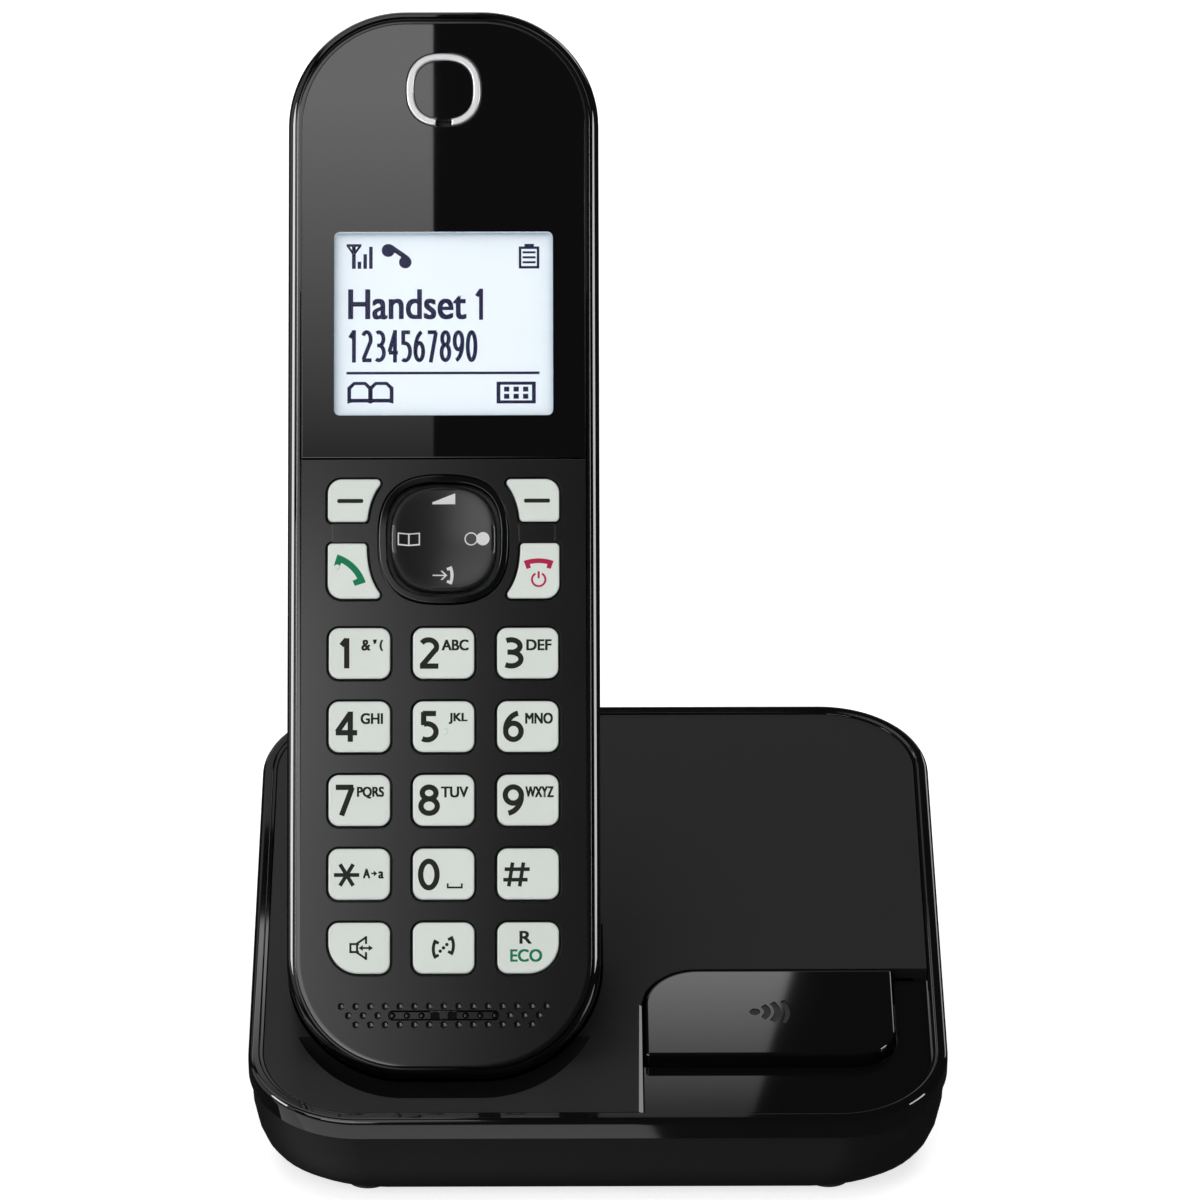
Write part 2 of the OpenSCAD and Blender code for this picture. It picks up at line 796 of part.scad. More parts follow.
module line_jack() {
    depth = 12;
    color("#1b1b1d") on_table() translate([line_jack_x, jack_wall_y - 0.2, jack_z]) difference() {
        union() {
            translate([-5.1, -depth, -4.8]) cube([10.2, depth, 9.6]);
            translate([-5.1, -depth, base_board_z + 1.6 - jack_z]) cube([10.2, depth - 3, 3]);
        }
        translate([-3.85, -9, -3.2]) cube([7.7, 10, 6.4]);
    }
}

module power_jack() {
    depth = 11;
    color("#1b1b1d") on_table() translate([power_jack_x, jack_wall_y - 0.2, jack_z]) {
        rotate([-90, 0, 0]) {
            difference() {
                translate([0, 0, -depth]) cylinder(r = 4, h = depth);
                translate([0, 0, -9]) cylinder(r = 2.8, h = 10);
            }
            translate([0, 0, -depth]) cylinder(r = 0.85, h = depth - 1.5);
        }
        difference() {
            translate([-3.5, -depth, base_board_z + 1.6 - jack_z]) cube([7, depth - 3, 4]);
            rotate([-90, 0, 0]) translate([0, 0, -depth - 1]) cylinder(r = 3.5, h = depth + 2);
        }
    }
}

// ---- The object ----

for (k = GRID_KEYS)
    on_handset() grid_key(k[1], k[2]);
for (k = SIDE_KEYS)
    on_handset() side_key(k[1], k[2], k[3]);
on_handset() nav_pad();
on_handset() nav_pivot();
on_handset() nav_ring();
on_handset() handset_front_case();
on_handset() handset_rear_case();
on_handset() battery_cover();
on_handset() battery_cells();
on_handset() battery_contacts();
on_handset() screen_lens();
on_handset() lcd_panel();
on_handset() lcd_frame();
on_handset() earpiece_ring();
on_handset() receiver();
on_handset() microphone();
on_handset() loudspeaker();
on_handset() keypad_mat();
on_handset() handset_board();
on_handset() handset_charge_contacts();
on_handset() handset_screws();
base_top_case();
on_top() base_rim();
base_bottom_case();
on_top() locator_panel();
on_top() locator_button();
locator_switch();
base_board();
on_handset() charge_pin(-1);  // charge_pin_left
on_handset() charge_pin(1);  // charge_pin_right
line_jack();
power_jack();
base_feet();
base_screws();
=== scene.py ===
"""A cordless telephone standing in its charging base: the looks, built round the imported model.

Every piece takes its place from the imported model's nodes and joints. Lengths are in metres.
"""

import json
import math

import bmesh
import bpy
from bpy.props import FloatProperty, FloatVectorProperty, IntProperty, PointerProperty
from mathutils import Matrix, Vector


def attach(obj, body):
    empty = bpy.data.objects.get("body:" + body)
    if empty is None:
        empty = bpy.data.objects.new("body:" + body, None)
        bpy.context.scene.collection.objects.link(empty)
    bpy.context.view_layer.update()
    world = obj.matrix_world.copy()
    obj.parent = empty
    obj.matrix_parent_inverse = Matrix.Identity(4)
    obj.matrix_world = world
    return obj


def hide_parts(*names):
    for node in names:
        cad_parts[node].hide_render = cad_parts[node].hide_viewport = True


bl_info = {
    "name": "Cordless Telephone",
    "version": (1, 0, 0),
    "blender": (4, 5, 0),
    "location": "3D View > Sidebar > Telephone",
    "description": "Builds the visible pieces of a cordless telephone and its charging base",
    "category": "Object",
}

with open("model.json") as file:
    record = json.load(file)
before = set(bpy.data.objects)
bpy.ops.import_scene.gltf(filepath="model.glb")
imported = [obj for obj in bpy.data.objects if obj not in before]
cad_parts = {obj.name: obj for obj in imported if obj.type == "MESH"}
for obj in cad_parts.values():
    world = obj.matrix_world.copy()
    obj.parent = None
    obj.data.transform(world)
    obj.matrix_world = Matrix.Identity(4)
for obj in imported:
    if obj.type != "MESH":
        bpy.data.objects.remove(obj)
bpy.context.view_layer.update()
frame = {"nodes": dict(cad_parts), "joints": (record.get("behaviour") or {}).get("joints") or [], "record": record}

MM = 0.001
NODES = frame["nodes"]
JOINTS = {joint["name"]: joint for joint in frame["joints"]}
BODY_OF = {n: body for body, nodes in frame["record"]["behaviour"]["bodies"].items() for n in nodes}
SLOT_OF = {part["node"]: part["material_slot"] for part in frame["record"]["subparts"]}
RIGHT = Vector((1, 0, 0))

HANDSET_CORNER = 18.6 * MM  # radius of the handset's outline
BASE_CORNER = 17.5 * MM  # radius of the base's rim
RIM_WIDTH = 1.14 * MM  # glossy rim of the handset, seen from the front
RING_POWER = 2.7  # how far the navigation ring swells towards a square
LEDGE_REVEAL = 0.15 * MM  # satin strip between the ledge and the edge above it
LEDGE_CHAMFER = 0.7 * MM
LONG_EDGE = 10 * MM
NEAR = 0.05 * MM  # how exactly a point is found sideways
LEVEL = 0.02 * MM  # how exactly a point is found in height
CREASE = 42  # degrees
LEGEND_SINK = 0.005 * MM  # how far a legend's back lies inside its key
LEGEND_FILM = 0.02 * MM
FILM_STEP = 0.0006 * MM  # keeps signs that overlap from lying in one plane


# ---- Places: the handset's face and the base's sloping top ----


def frame_along(direction):
    """A turned frame: X to the right, Y along the direction, Z square out of the surface."""
    along = Vector(direction).normalized()
    return Matrix((RIGHT, along, RIGHT.cross(along))).transposed().to_4x4()


def box_of(points):
    """Lowest and highest corner of some points."""
    low = Vector([min(point[i] for point in points) for i in range(3)])
    high = Vector([max(point[i] for point in points) for i in range(3)])
    return low, high


def local_box(place, node):
    """Lowest and highest corner of a node, measured in a turned frame."""
    back = place.inverted()
    return box_of([back @ vertex.co for vertex in NODES[node].data.vertices])


def middle_of(low, high):
    """Middle of a box, seen from above."""
    return (low.x + high.x) / 2, (low.y + high.y) / 2


def handset_place():
    """The handset's frame: its origin is the bottom of the face, at the middle."""
    place = frame_along(JOINTS["handset_lift"]["axis"])
    low, high = local_box(place, "handset_front_case")
    place.translation = place @ Vector(((low.x + high.x) / 2, low.y, high.z))
    return place


def top_place():
    """The frame of the base's sloping top: its origin is the middle of the top's front edge."""
    press = Vector(JOINTS["locator_press"]["axis"])
    place = frame_along((-press).cross(RIGHT))
    low, high = local_box(place, "base_rim")
    surface = local_box(place, "base_top_case")[1].z
    place.translation = place @ Vector(((low.x + high.x) / 2, low.y, surface))
    return place


HANDSET = handset_place()
TOP = top_place()


# ---- Outlines ----
# A loop is a list of (x, y) points with the material on its left: an outline runs anticlockwise and a hole
# clockwise.


def area_of(loop):
    """Signed area of a loop: positive if it runs anticlockwise."""
    return sum(a[0] * b[1] - b[0] * a[1] for a, b in zip(loop, loop[1:] + loop[:1])) / 2


def offset(loop, inset):
    """The loop moved into its material by inset."""
    moved = []
    for i, point in enumerate(loop):
        here = Vector(point)
        before = (here - Vector(loop[i - 1])).normalized()
        after = (Vector(loop[(i + 1) % len(loop)]) - here).normalized()
        inward = Vector((-before.y - after.y, before.x + after.x)).normalized()
        share = max(inward.dot(Vector((-before.y, before.x))), 0.35)
        moved.append(tuple(here + inward * inset / share))
    return moved


def without_straight_points(loop):
    """The loop without points that lie on a straight run or on their neighbour."""
    kept = []
    for i, point in enumerate(loop):
        here = Vector(point)
        before = here - Vector(loop[i - 1])
        after = Vector(loop[(i + 1) % len(loop)]) - here
        if before.length < 2e-6:
            continue
        if abs(before.normalized().cross(after.normalized())) > 0.002 or before.dot(after) < 0:
            kept.append(point)
    return kept


def face_loops(node, place, height):
    """The outline and holes of a node's flat face at a height of a turned frame, outline first."""
    back = place.inverted()
    mesh = NODES[node].data
    points = [back @ vertex.co for vertex in mesh.vertices]
    key = [(round(point.x * 2e5), round(point.y * 2e5)) for point in points]
    spot = {key[i]: (points[i].x, points[i].y) for i in range(len(points))}
    following = {}
    sides = set()
    for face in mesh.polygons:
        if all(abs(points[i].z - height) < 5e-6 for i in face.vertices):
            corners = [key[i] for i in face.vertices]
            if area_of([spot[corner] for corner in corners]) < 0:
                corners.reverse()
            sides.update(zip(corners, corners[1:] + corners[:1]))
    for start, end in sides:
        if (end, start) not in sides:
            following.setdefault(start, []).append(end)
    loops = []
    while following:
        start = next(iter(following))
        loop, at = [], start
        while at in following:
            loop.append(spot[at])
            ends = following[at]
            step = ends.pop()
            if not ends:
                del following[at]
            at = step
            if at == start:
                break
        loop = without_straight_points(loop)
        if len(loop) > 2:
            loops.append(loop)
    if not loops:
        raise ValueError(f"{node} has no flat face at {height}")
    return sorted(loops, key=area_of, reverse=True)


def rounded(width, length, radius, centre=(0, 0), steps=10):
    """Outline of a rectangle with round corners."""
    points = []
    for i, (side, end) in enumerate(((1, 1), (-1, 1), (-1, -1), (1, -1))):
        x = centre[0] + side * (width / 2 - radius)
        y = centre[1] + end * (length / 2 - radius)
        for k in range(steps + 1):
            angle = math.radians(90 * (i + k / steps))
            points.append((x + radius * math.cos(angle), y + radius * math.sin(angle)))
    return points


def swollen_square(radius, power, centre=(0, 0), steps=96):
    """Outline of a rounded square whose sides swell."""
    points = []
    for k in range(steps):
        angle = 2 * math.pi * k / steps
        c, s = math.cos(angle), math.sin(angle)
        x = centre[0] + radius * math.copysign(abs(c) ** (2 / power), c)
        y = centre[1] + radius * math.copysign(abs(s) ** (2 / power), s)
        points.append((x, y))
    return points


def box_loop(x0, y0, x1, y1):
    """Outline of a rectangle with sharp corners."""
    return [(x0, y0), (x1, y0), (x1, y1), (x0, y1)]


def disc(radius, centre=(0, 0), steps=32):
    """Outline of a circle."""
    return swollen_square(radius, 2, centre, steps)


def bar(start, end, width):
    """Outline of a straight stroke."""
    start, end = Vector(start), Vector(end)
    along = (end - start).normalized()
    side = Vector((-along.y, along.x)) * width / 2
    return [tuple(start - side), tuple(end - side), tuple(end + side), tuple(start + side)]


def band(centre, inner, outer, start, end, steps=20):
    """Outline of a curved stroke between two radii and two angles in degrees."""
    angles = [math.radians(start + (end - start) * k / steps) for k in range(steps + 1)]
    outside = [(centre[0] + outer * math.cos(a), centre[1] + outer * math.sin(a)) for a in angles]
    inside = [(centre[0] + inner * math.cos(a), centre[1] + inner * math.sin(a)) for a in reversed(angles)]
    return outside + inside


def receiver_sign(centre, length, turn, bow=0.55):
    """Outline of a small telephone receiver: a bowed handle with two square ends."""
    half = math.asin(bow)
    radius = length / 2 / bow
    thick = length * 0.16
    pad = half * 0.36
    steps = 10
    outer = [half - 2 * half * k / steps for k in range(steps + 1)]
    inner = [-half + pad + (2 * half - 2 * pad) * k / steps for k in range(steps + 1)]
    spots = [(radius, a) for a in outer]
    spots += [(radius - 1.8 * thick, -half), (radius - 1.8 * thick, -half + pad)]
    spots += [(radius - thick, a) for a in inner]
    spots += [(radius - 1.8 * thick, half - pad), (radius - 1.8 * thick, half)]
    middle = radius - thick
    turned = Matrix.Rotation(math.radians(turn), 2)
    points = []
    for r, a in spots:
        point = turned @ Vector((r * math.sin(a), r * math.cos(a) - middle))
        points.append((centre[0] + point.x, centre[1] + point.y))
    return points if area_of(points) > 0 else points[::-1]


def in_mm(points):
    """Points given in millimetres, in metres."""
    return [(x * MM, y * MM) for x, y in points]


def millimetres(loops, centre):
    """Loops given in millimetres from a centre, in metres."""
    return [[(x * MM + centre[0], y * MM + centre[1]) for x, y in loop] for loop in loops]


def upright_first(loops):
    """The same loops, with the outline turned anticlockwise."""
    return [loops[0] if area_of(loops[0]) > 0 else loops[0][::-1]] + loops[1:]


def cut_from(loop):
    """The same loop as a hole."""
    return loop if area_of(loop) < 0 else loop[::-1]


# ---- Meshes ----


def bridge(bm, lower, upper):
    """A wall of quads between two loops of vertices."""
    count = len(lower)
    for i in range(count):
        j = (i + 1) % count
        bm.faces.new((lower[i], lower[j], upper[j], upper[i]))
    bm.faces.ensure_lookup_table()


def cap(bm, rings):
    """A flat face over an outline and its holes, marked as flat."""
    flat = bm.faces.layers.int.get("flat") or bm.faces.layers.int.new("flat")
    edges = []
    for ring in rings:
        for i, vertex in enumerate(ring):
            other = ring[(i + 1) % len(ring)]
            edges.append(bm.edges.get((vertex, other)) or bm.edges.new((vertex, other)))
    made = bmesh.ops.triangle_fill(bm, edges=edges, use_beauty=True, use_dissolve=False)
    for part in made["geom"]:
        if isinstance(part, bmesh.types.BMFace):
            part[flat] = 1
    bm.faces.ensure_lookup_table()


def add_plate(bm, loops, profile, shares=None):
    """A closed plate over an outline and its holes. The profile is (inset, height), from the bottom up."""
    first = len(bm.faces)
    stacks = []
    for k, loop in enumerate(loops):
        share = shares[k] if shares else 1
        stack = []
        for inset, height in profile:
            stack.append([bm.verts.new((x, y, height)) for x, y in offset(loop, inset * share)])
        for lower, upper in zip(stack, stack[1:]):
            bridge(bm, lower, upper)
        stacks.append(stack)
    cap(bm, [stack[-1] for stack in stacks])
    cap(bm, [stack[0] for stack in stacks])
    bmesh.ops.recalc_face_normals(bm, faces=bm.faces[first:])


def add_ring(bm, loop, profile):
    """A closed ring along a loop. The profile is (inset, height) all round its cross-section."""
    first = len(bm.faces)
    flat = bm.faces.layers.int.get("flat") or bm.faces.layers.int.new("flat")
    stack = [[bm.verts.new((x, y, h)) for x, y in offset(loop, inset)] for inset, h in profile]
    for i, lower in enumerate(stack):
        level = profile[i][1] == profile[(i + 1) % len(profile)][1]
        start = len(bm.faces)
        bridge(bm, lower, stack[(i + 1) % len(stack)])
        for face in bm.faces[start:]:
            face[flat] = 1 if level else 0
    bmesh.ops.recalc_face_normals(bm, faces=bm.faces[first:])


def rounded_edge(low, high, edge, steps=4):
    """Profile of a plate whose upper edge is rounded."""
    profile = [(0.0, low)]
    for k in range(steps + 1):
        angle = math.pi / 2 * k / steps
        profile.append((edge * (1 - math.cos(angle)), high - edge + edge * math.sin(angle)))
    return profile


def paint_from(bm, first, slot):
    """Gives a material slot to the faces from a number on."""
    bm.faces.ensure_lookup_table()
    for face in bm.faces[first:]:
        face.material_index = slot


def link(name, mesh):
    """A new object in the scene."""
    piece = bpy.data.objects.new(name, mesh)
    bpy.context.scene.collection.objects.link(piece)
    return piece


def smooth(mesh, crease):
    """Smooth shading, sharp where two faces meet at more than the crease in degrees."""
    mesh.polygons.foreach_set("use_smooth", [True] * len(mesh.polygons))
    mesh.set_sharp_from_angle(angle=math.radians(crease))


def shade(mesh, crease):
    """Smooth shading in which a rounded edge runs into a flat face without bending its light."""
    smooth(mesh, crease)
    marked = [bool(item.value) for item in mesh.attributes["flat"].data]
    least = math.cos(math.radians(crease))
    upright = {}
    for face in mesh.polygons:
        if marked[face.index] and face.area > 0:
            for vertex in face.vertices:
                upright[vertex] = upright.get(vertex, Vector((0, 0, 0))) + face.normal * face.area
    upright = {vertex: normal.normalized() for vertex, normal in upright.items()}
    normals = [(0.0, 0.0, 0.0)] * len(mesh.loops)
    for face in mesh.polygons:
        for corner in face.loop_indices:
            normal = upright.get(mesh.loops[corner].vertex_index)
            if normal is not None and (marked[face.index] or face.normal.dot(normal) > least):
                normals[corner] = tuple(normal)
    mesh.normals_split_custom_set(normals)
    mesh.attributes.remove(mesh.attributes["flat"])


def stand_in(piece, node):
    """Lets a piece ride on the body of a CAD node and stand for that node."""
    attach(piece, BODY_OF[node])
    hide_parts(node)
    return piece


def finish_piece(name, bm, place, materials, node):
    """Turns a mesh in a turned frame into a piece that stands for a node."""
    mesh = bpy.data.meshes.new(name)
    bm.to_mesh(mesh)
    bm.free()
    mesh.transform(place)
    shade(mesh, CREASE)
    for material in materials:
        mesh.materials.append(material_for(material))
    return stand_in(link(name, mesh), node)


def merged_copy(name, node, material, bevel=0.0, crease=28, chamfer=0.0, chosen=None):
    """A piece with a node's own shape, with its loose triangles merged and its edges softened.

    The long edges whose ends are both chosen get a chamfer of their own.
    """
    bm = bmesh.new()
    bm.from_mesh(NODES[node].data)
    bmesh.ops.remove_doubles(bm, verts=bm.verts, dist=2e-6)
    bmesh.ops.dissolve_degenerate(bm, edges=bm.edges, dist=1e-6)
    bmesh.ops.dissolve_limit(bm, angle_limit=math.radians(0.4), verts=bm.verts, edges=bm.edges)
    if chosen:
        edges = [edge for edge in bm.edges if chosen(edge.verts[0].co) and chosen(edge.verts[1].co)]
        edges = [edge for edge in edges if edge.calc_length() > LONG_EDGE]
        bmesh.ops.bevel(bm, geom=edges, offset=chamfer, segments=1, affect="EDGES", clamp_overlap=False)
    mesh = bpy.data.meshes.new(name)
    bm.to_mesh(mesh)
    bm.free()
    smooth(mesh, crease)
    mesh.materials.append(material_for(material))
    piece = link(name, mesh)
    if bevel:
        soft = piece.modifiers.new("Bevel", "BEVEL")
        soft.width = bevel
        soft.segments = 2
        soft.limit_method = "ANGLE"
        soft.angle_limit = math.radians(35)
        soft.use_clamp_overlap = True
    weighted = piece.modifiers.new("Weighted Normal", "WEIGHTED_NORMAL")
    weighted.keep_sharp = True
    return stand_in(piece, node)


# ---- Legends ----


def text_mesh(words):
    """A mesh of some text in Blender's own font, one unit thick."""
    curve = bpy.data.curves.new("words", "FONT")
    curve.body = words
    curve.size = 1.0
    curve.extrude = 0.5
    curve.resolution_u = 6
    holder = link("words", curve)
    bpy.context.view_layer.update()
    mesh = bpy.data.meshes.new_from_object(holder.evaluated_get(bpy.context.evaluated_depsgraph_get()))
    bpy.data.objects.remove(holder)
    bpy.data.curves.remove(curve)
    return mesh


def add_text(bm, words, box, height, thickness, bold=0.0, slot=0):
    """Text fitted into a box (x0, y0, x1, y1), with its back at a height.

    Bold is how far its copies are spread.
    """
    mesh = text_mesh(words)
    low, high = box_of([vertex.co for vertex in mesh.vertices])
    unit = [[(vertex.co[i] - low[i]) / (high[i] - low[i]) for i in range(3)] for vertex in mesh.vertices]
    spreads = [(-1, -0.6), (1, 0.6), (-1, 0.6), (1, -0.6)] if bold else [(0, 0)]
    for k, (dx, dy) in enumerate(spreads):
        x0, y0 = box[0] + bold * (1 + dx), box[1] + bold * (1 + dy)
        wide, tall = box[2] - box[0] - 2 * bold, box[3] - box[1] - 2 * bold
        deep = thickness * (1 + 0.03 * k)
        for vertex, share in zip(mesh.vertices, unit):
            vertex.co = (x0 + share[0] * wide, y0 + share[1] * tall, height + share[2] * deep)
        first = len(bm.faces)
        bm.from_mesh(mesh)
        paint_from(bm, first, slot)
    bpy.data.meshes.remove(mesh)


def add_sign(bm, shapes, height, thickness, slot=0):
    """Flat signs: each shape is an outline, or an outline with its holes."""
    first = len(bm.faces)
    for shape in shapes:
        loops = shape if isinstance(shape[0], list) else [shape]
        add_plate(bm, loops, [(0.0, height), (0.0, height + thickness)])
    paint_from(bm, first, slot)


# ---- Materials ----


def new_material(name):
    """A material with one principled shader, and its node tree."""
    material = bpy.data.materials.new(name)
    material.use_nodes = True
    tree = material.node_tree
    return material, tree, tree.nodes["Principled BSDF"]


def set_inputs(node, **values):
    """Sets a node's inputs by name, with _ in place of a space."""
    for name, value in values.items():
        node.inputs[name.replace("_", " ")].default_value = value


def add_node(tree, kind, **values):
    """A shader node with its inputs set by name."""
    node = tree.nodes.new(kind)
    set_inputs(node, **values)
    return node


def wire(tree, *joins):
    """Joins nodes. Each join is (node, its output, next node, its input)."""
    for source, output, sink, entry in joins:
        tree.links.new(source.outputs[output], sink.inputs[entry])


def noise(tree, **values):
    """Noise on the object's own coordinates."""
    place = tree.nodes.new("ShaderNodeTexCoord")
    node = add_node(tree, "ShaderNodeTexNoise", **values)
    wire(tree, (place, "Object", node, "Vector"))
    return node


def uneven_gloss(tree, source, shader, low, high):
    """Lets a noise move the roughness between two values."""
    gloss = add_node(tree, "ShaderNodeMapRange", To_Min=low, To_Max=high)
    wire(tree, (source, "Fac", gloss, "Value"), (gloss, "Result", shader, "Roughness"))


def relief(tree, source, shader, strength, depth):
    """Lets a noise raise the surface."""
    bump = add_node(tree, "ShaderNodeBump", Strength=strength, Distance=depth)
    wire(tree, (source, "Fac", bump, "Height"), (bump, "Normal", shader, "Normal"))


def moulded(name, colour, roughness, grain_size, grain_depth, **more):
    """Moulded plastic: a fine spark-eroded grain, flow clouds in the gloss and a slight shift in colour."""
    material, tree, shader = new_material(name)
    clouds = noise(tree, Scale=55.0, Detail=3.0, Roughness=0.55)
    tone = tree.nodes.new("ShaderNodeMix")
    tone.data_type = "RGBA"
    tone.inputs["A"].default_value = (*[c * 0.93 for c in colour], 1)
    tone.inputs["B"].default_value = (*[min(c * 1.07, 1) for c in colour], 1)
    wire(tree, (clouds, "Fac", tone, "Factor"), (tone, "Result", shader, "Base Color"))
    spread = more.get("spread", 0.04)
    uneven_gloss(tree, clouds, shader, roughness - spread, roughness + spread)
    if grain_depth:
        grain = noise(tree, Scale=1 / grain_size, Detail=2.0, Roughness=0.6)
        relief(tree, grain, shader, 0.6, grain_depth)
    set_inputs(
        shader,
        Metallic=more.get("metallic", 0.0),
        Specular_IOR_Level=more.get("specular", 0.5),
        Coat_Weight=more.get("coat", 0.0),
        Coat_Roughness=0.03,
    )
    return material


def brushed(name, colour, roughness, direction):
    """Metal with fine brush lines along a direction."""
    material, tree, shader = new_material(name)
    place = tree.nodes.new("ShaderNodeTexCoord")
    stretch = tree.nodes.new("ShaderNodeMapping")
    stretch.inputs["Scale"].default_value = direction
    lines = add_node(tree, "ShaderNodeTexNoise", Scale=900.0, Detail=4.0)
    wire(tree, (place, "Object", stretch, "Vector"), (stretch, "Vector", lines, "Vector"))
    uneven_gloss(tree, lines, shader, roughness * 0.7, roughness * 1.4)
    relief(tree, lines, shader, 0.3, 0.01 * MM)
    set_inputs(shader, Base_Color=(*colour, 1), Metallic=1.0)
    return material


def ink(name, colour, roughness=0.5):
    """Printed ink with a faintly uneven film."""
    material, tree, shader = new_material(name)
    film = noise(tree, Scale=2500.0, Detail=2.0)
    uneven_gloss(tree, film, shader, roughness - 0.08, roughness + 0.08)
    set_inputs(shader, Base_Color=(*colour, 1), Specular_IOR_Level=0.12)
    return material


def sum_node(tree, operation):
    """A node that does one sum."""
    node = tree.nodes.new("ShaderNodeMath")
    node.operation = operation
    return node


def backlit(name, colour, strength):
    """A backlit display, brightest at the middle, with painted shade at its edges: a little bluer and dimmer where
    the lens's mask shades it.
    """
    material, tree, shader = new_material(name)
    place = tree.nodes.new("ShaderNodeUVMap")
    place.uv_map = "screen"
    split = tree.nodes.new("ShaderNodeSeparateXYZ")
    edge_shade = sum_node(tree, "MAXIMUM")
    wire(tree, (place, "UV", split, "Vector"))
    for i, axis in enumerate(("X", "Y")):
        centred = add_node(tree, "ShaderNodeMapRange", To_Min=-1.0, To_Max=1.0)
        size = sum_node(tree, "ABSOLUTE")
        power = sum_node(tree, "POWER")
        power.inputs[1].default_value = 26.0
        wire(tree, (split, axis, centred, "Value"), (centred, "Result", size, 0))
        wire(tree, (size, "Value", power, 0), (power, "Value", edge_shade, i))
    # The mix towards the dimmer, bluer colour is painted shade along the display's edges.
    glow = tree.nodes.new("ShaderNodeMix")
    glow.data_type = "RGBA"
    glow.inputs["A"].default_value = (*colour, 1)
    glow.inputs["B"].default_value = (*[c * s for c, s in zip(colour, (0.32, 0.42, 0.5))], 1)
    wire(tree, (edge_shade, "Value", glow, "Factor"), (glow, "Result", shader, "Emission Color"))
    set_inputs(shader, Emission_Strength=strength, Base_Color=(0.3, 0.33, 0.36, 1), Roughness=0.35)
    return material


def clear(name):
    """Clear acrylic."""
    material, tree, shader = new_material(name)
    uneven_gloss(tree, noise(tree, Scale=20.0, Detail=1.0), shader, 0.0, 0.02)
    set_inputs(shader, Base_Color=(1, 1, 1, 1), Transmission_Weight=1.0, IOR=1.16)
    return material


MATERIALS = {}


def material_for(name):
    """A material of the telephone, made when it is first asked for."""
    if name in MATERIALS:
        return MATERIALS[name]
    look = bpy.context.scene.telephone_looks
    grain = look.grain_size
    makers = {
        "key_field": lambda n: moulded(n, look.satin_black, 0.13, grain, 0.0012 * MM, spread=0.01),
        "base_satin": lambda n: moulded(n, look.base_black, 0.46, grain, 0.014 * MM, specular=0.4),
        # A dull black that hardly reflects: painted shade in the handset's bed and in the microphone's slot.
        "bed": lambda n: moulded(n, look.gloss_black, 0.5, grain, 0.004 * MM, specular=0.03),
        "shell_satin": lambda n: moulded(n, look.shell_black, 0.5, grain * 1.3, 0.02 * MM, specular=0.17),
        "gloss": lambda n: moulded(n, look.gloss_black, 0.03, grain, 0.0, spread=0.01),
        "lens": lambda n: moulded(n, look.gloss_black, 0.012, grain, 0.0, spread=0.004, specular=0.56),
        "key": lambda n: moulded(n, look.key_colour, 0.38, grain * 0.8, 0.008 * MM, specular=0.4),
        "pad": lambda n: moulded(n, look.pad_black, 0.22, grain * 0.8, 0.003 * MM, specular=0.32),
        "silver": lambda n: moulded(n, (0.62, 0.62, 0.63), 0.3, 0.3 * MM, 0.003 * MM, metallic=0.55),
        "steel": lambda n: brushed(n, (0.6, 0.61, 0.63), 0.3, (1, 1, 8)),
        "gold": lambda n: brushed(n, (0.83, 0.62, 0.27), 0.22, (6, 1, 1)),
        "cell": lambda n: brushed(n, (0.52, 0.56, 0.6), 0.3, (10, 1, 1)),
        "board": lambda n: moulded(n, (0.02, 0.16, 0.06), 0.3, 0.4 * MM, 0.02 * MM, coat=0.4),
        "silicone": lambda n: moulded(n, (0.24, 0.26, 0.25), 0.6, 0.2 * MM, 0.01 * MM),
        # Dark inner parts, and painted shade on the keys' walls below the face.
        "dark_part": lambda n: moulded(n, (0.03, 0.03, 0.035), 0.45, 0.15 * MM, 0.01 * MM),
        "light_guide": lambda n: moulded(n, (0.72, 0.73, 0.72), 0.35, 0.2 * MM, 0.005 * MM),
        "rubber": lambda n: moulded(n, (0.018, 0.018, 0.018), 0.75, 0.12 * MM, 0.02 * MM, specular=0.25),
        "ink_dark": lambda n: ink(n, (0.012, 0.014, 0.011)),
        "ink_green": lambda n: ink(n, look.talk_green),
        "ink_red": lambda n: ink(n, look.off_red),
        "ink_pale": lambda n: ink(n, (0.72, 0.72, 0.73)),
        "ink_screen": lambda n: ink(n, (0.006, 0.007, 0.045)),
        "mark_grey": lambda n: ink(n, (0.04, 0.04, 0.042), 0.4),
        "display": lambda n: backlit(n, look.screen_colour, look.screen_glow),
        "window": lambda n: clear(n),
    }
    MATERIALS[name] = makers[name](name)
    return MATERIALS[name]


# ---- Repeated parts, made with Geometry Nodes ----


def islands(node):
    """Lowest and highest corner of each separate lump of a node, as pairs."""
    bm = bmesh.new()
    bm.from_mesh(NODES[node].data)
    bmesh.ops.remove_doubles(bm, verts=bm.verts, dist=2e-6)
    left = set(bm.verts)
    boxes = []
    while left:
        reached = [left.pop()]
        lump = []
        while reached:
            vertex = reached.pop()
            lump.append(vertex.co.copy())
            for edge in vertex.link_edges:
                other = edge.other_vert(vertex)
                if other in left:
                    left.remove(other)
                    reached.append(other)
        boxes.append(box_of(lump))
    bm.free()
    return boxes


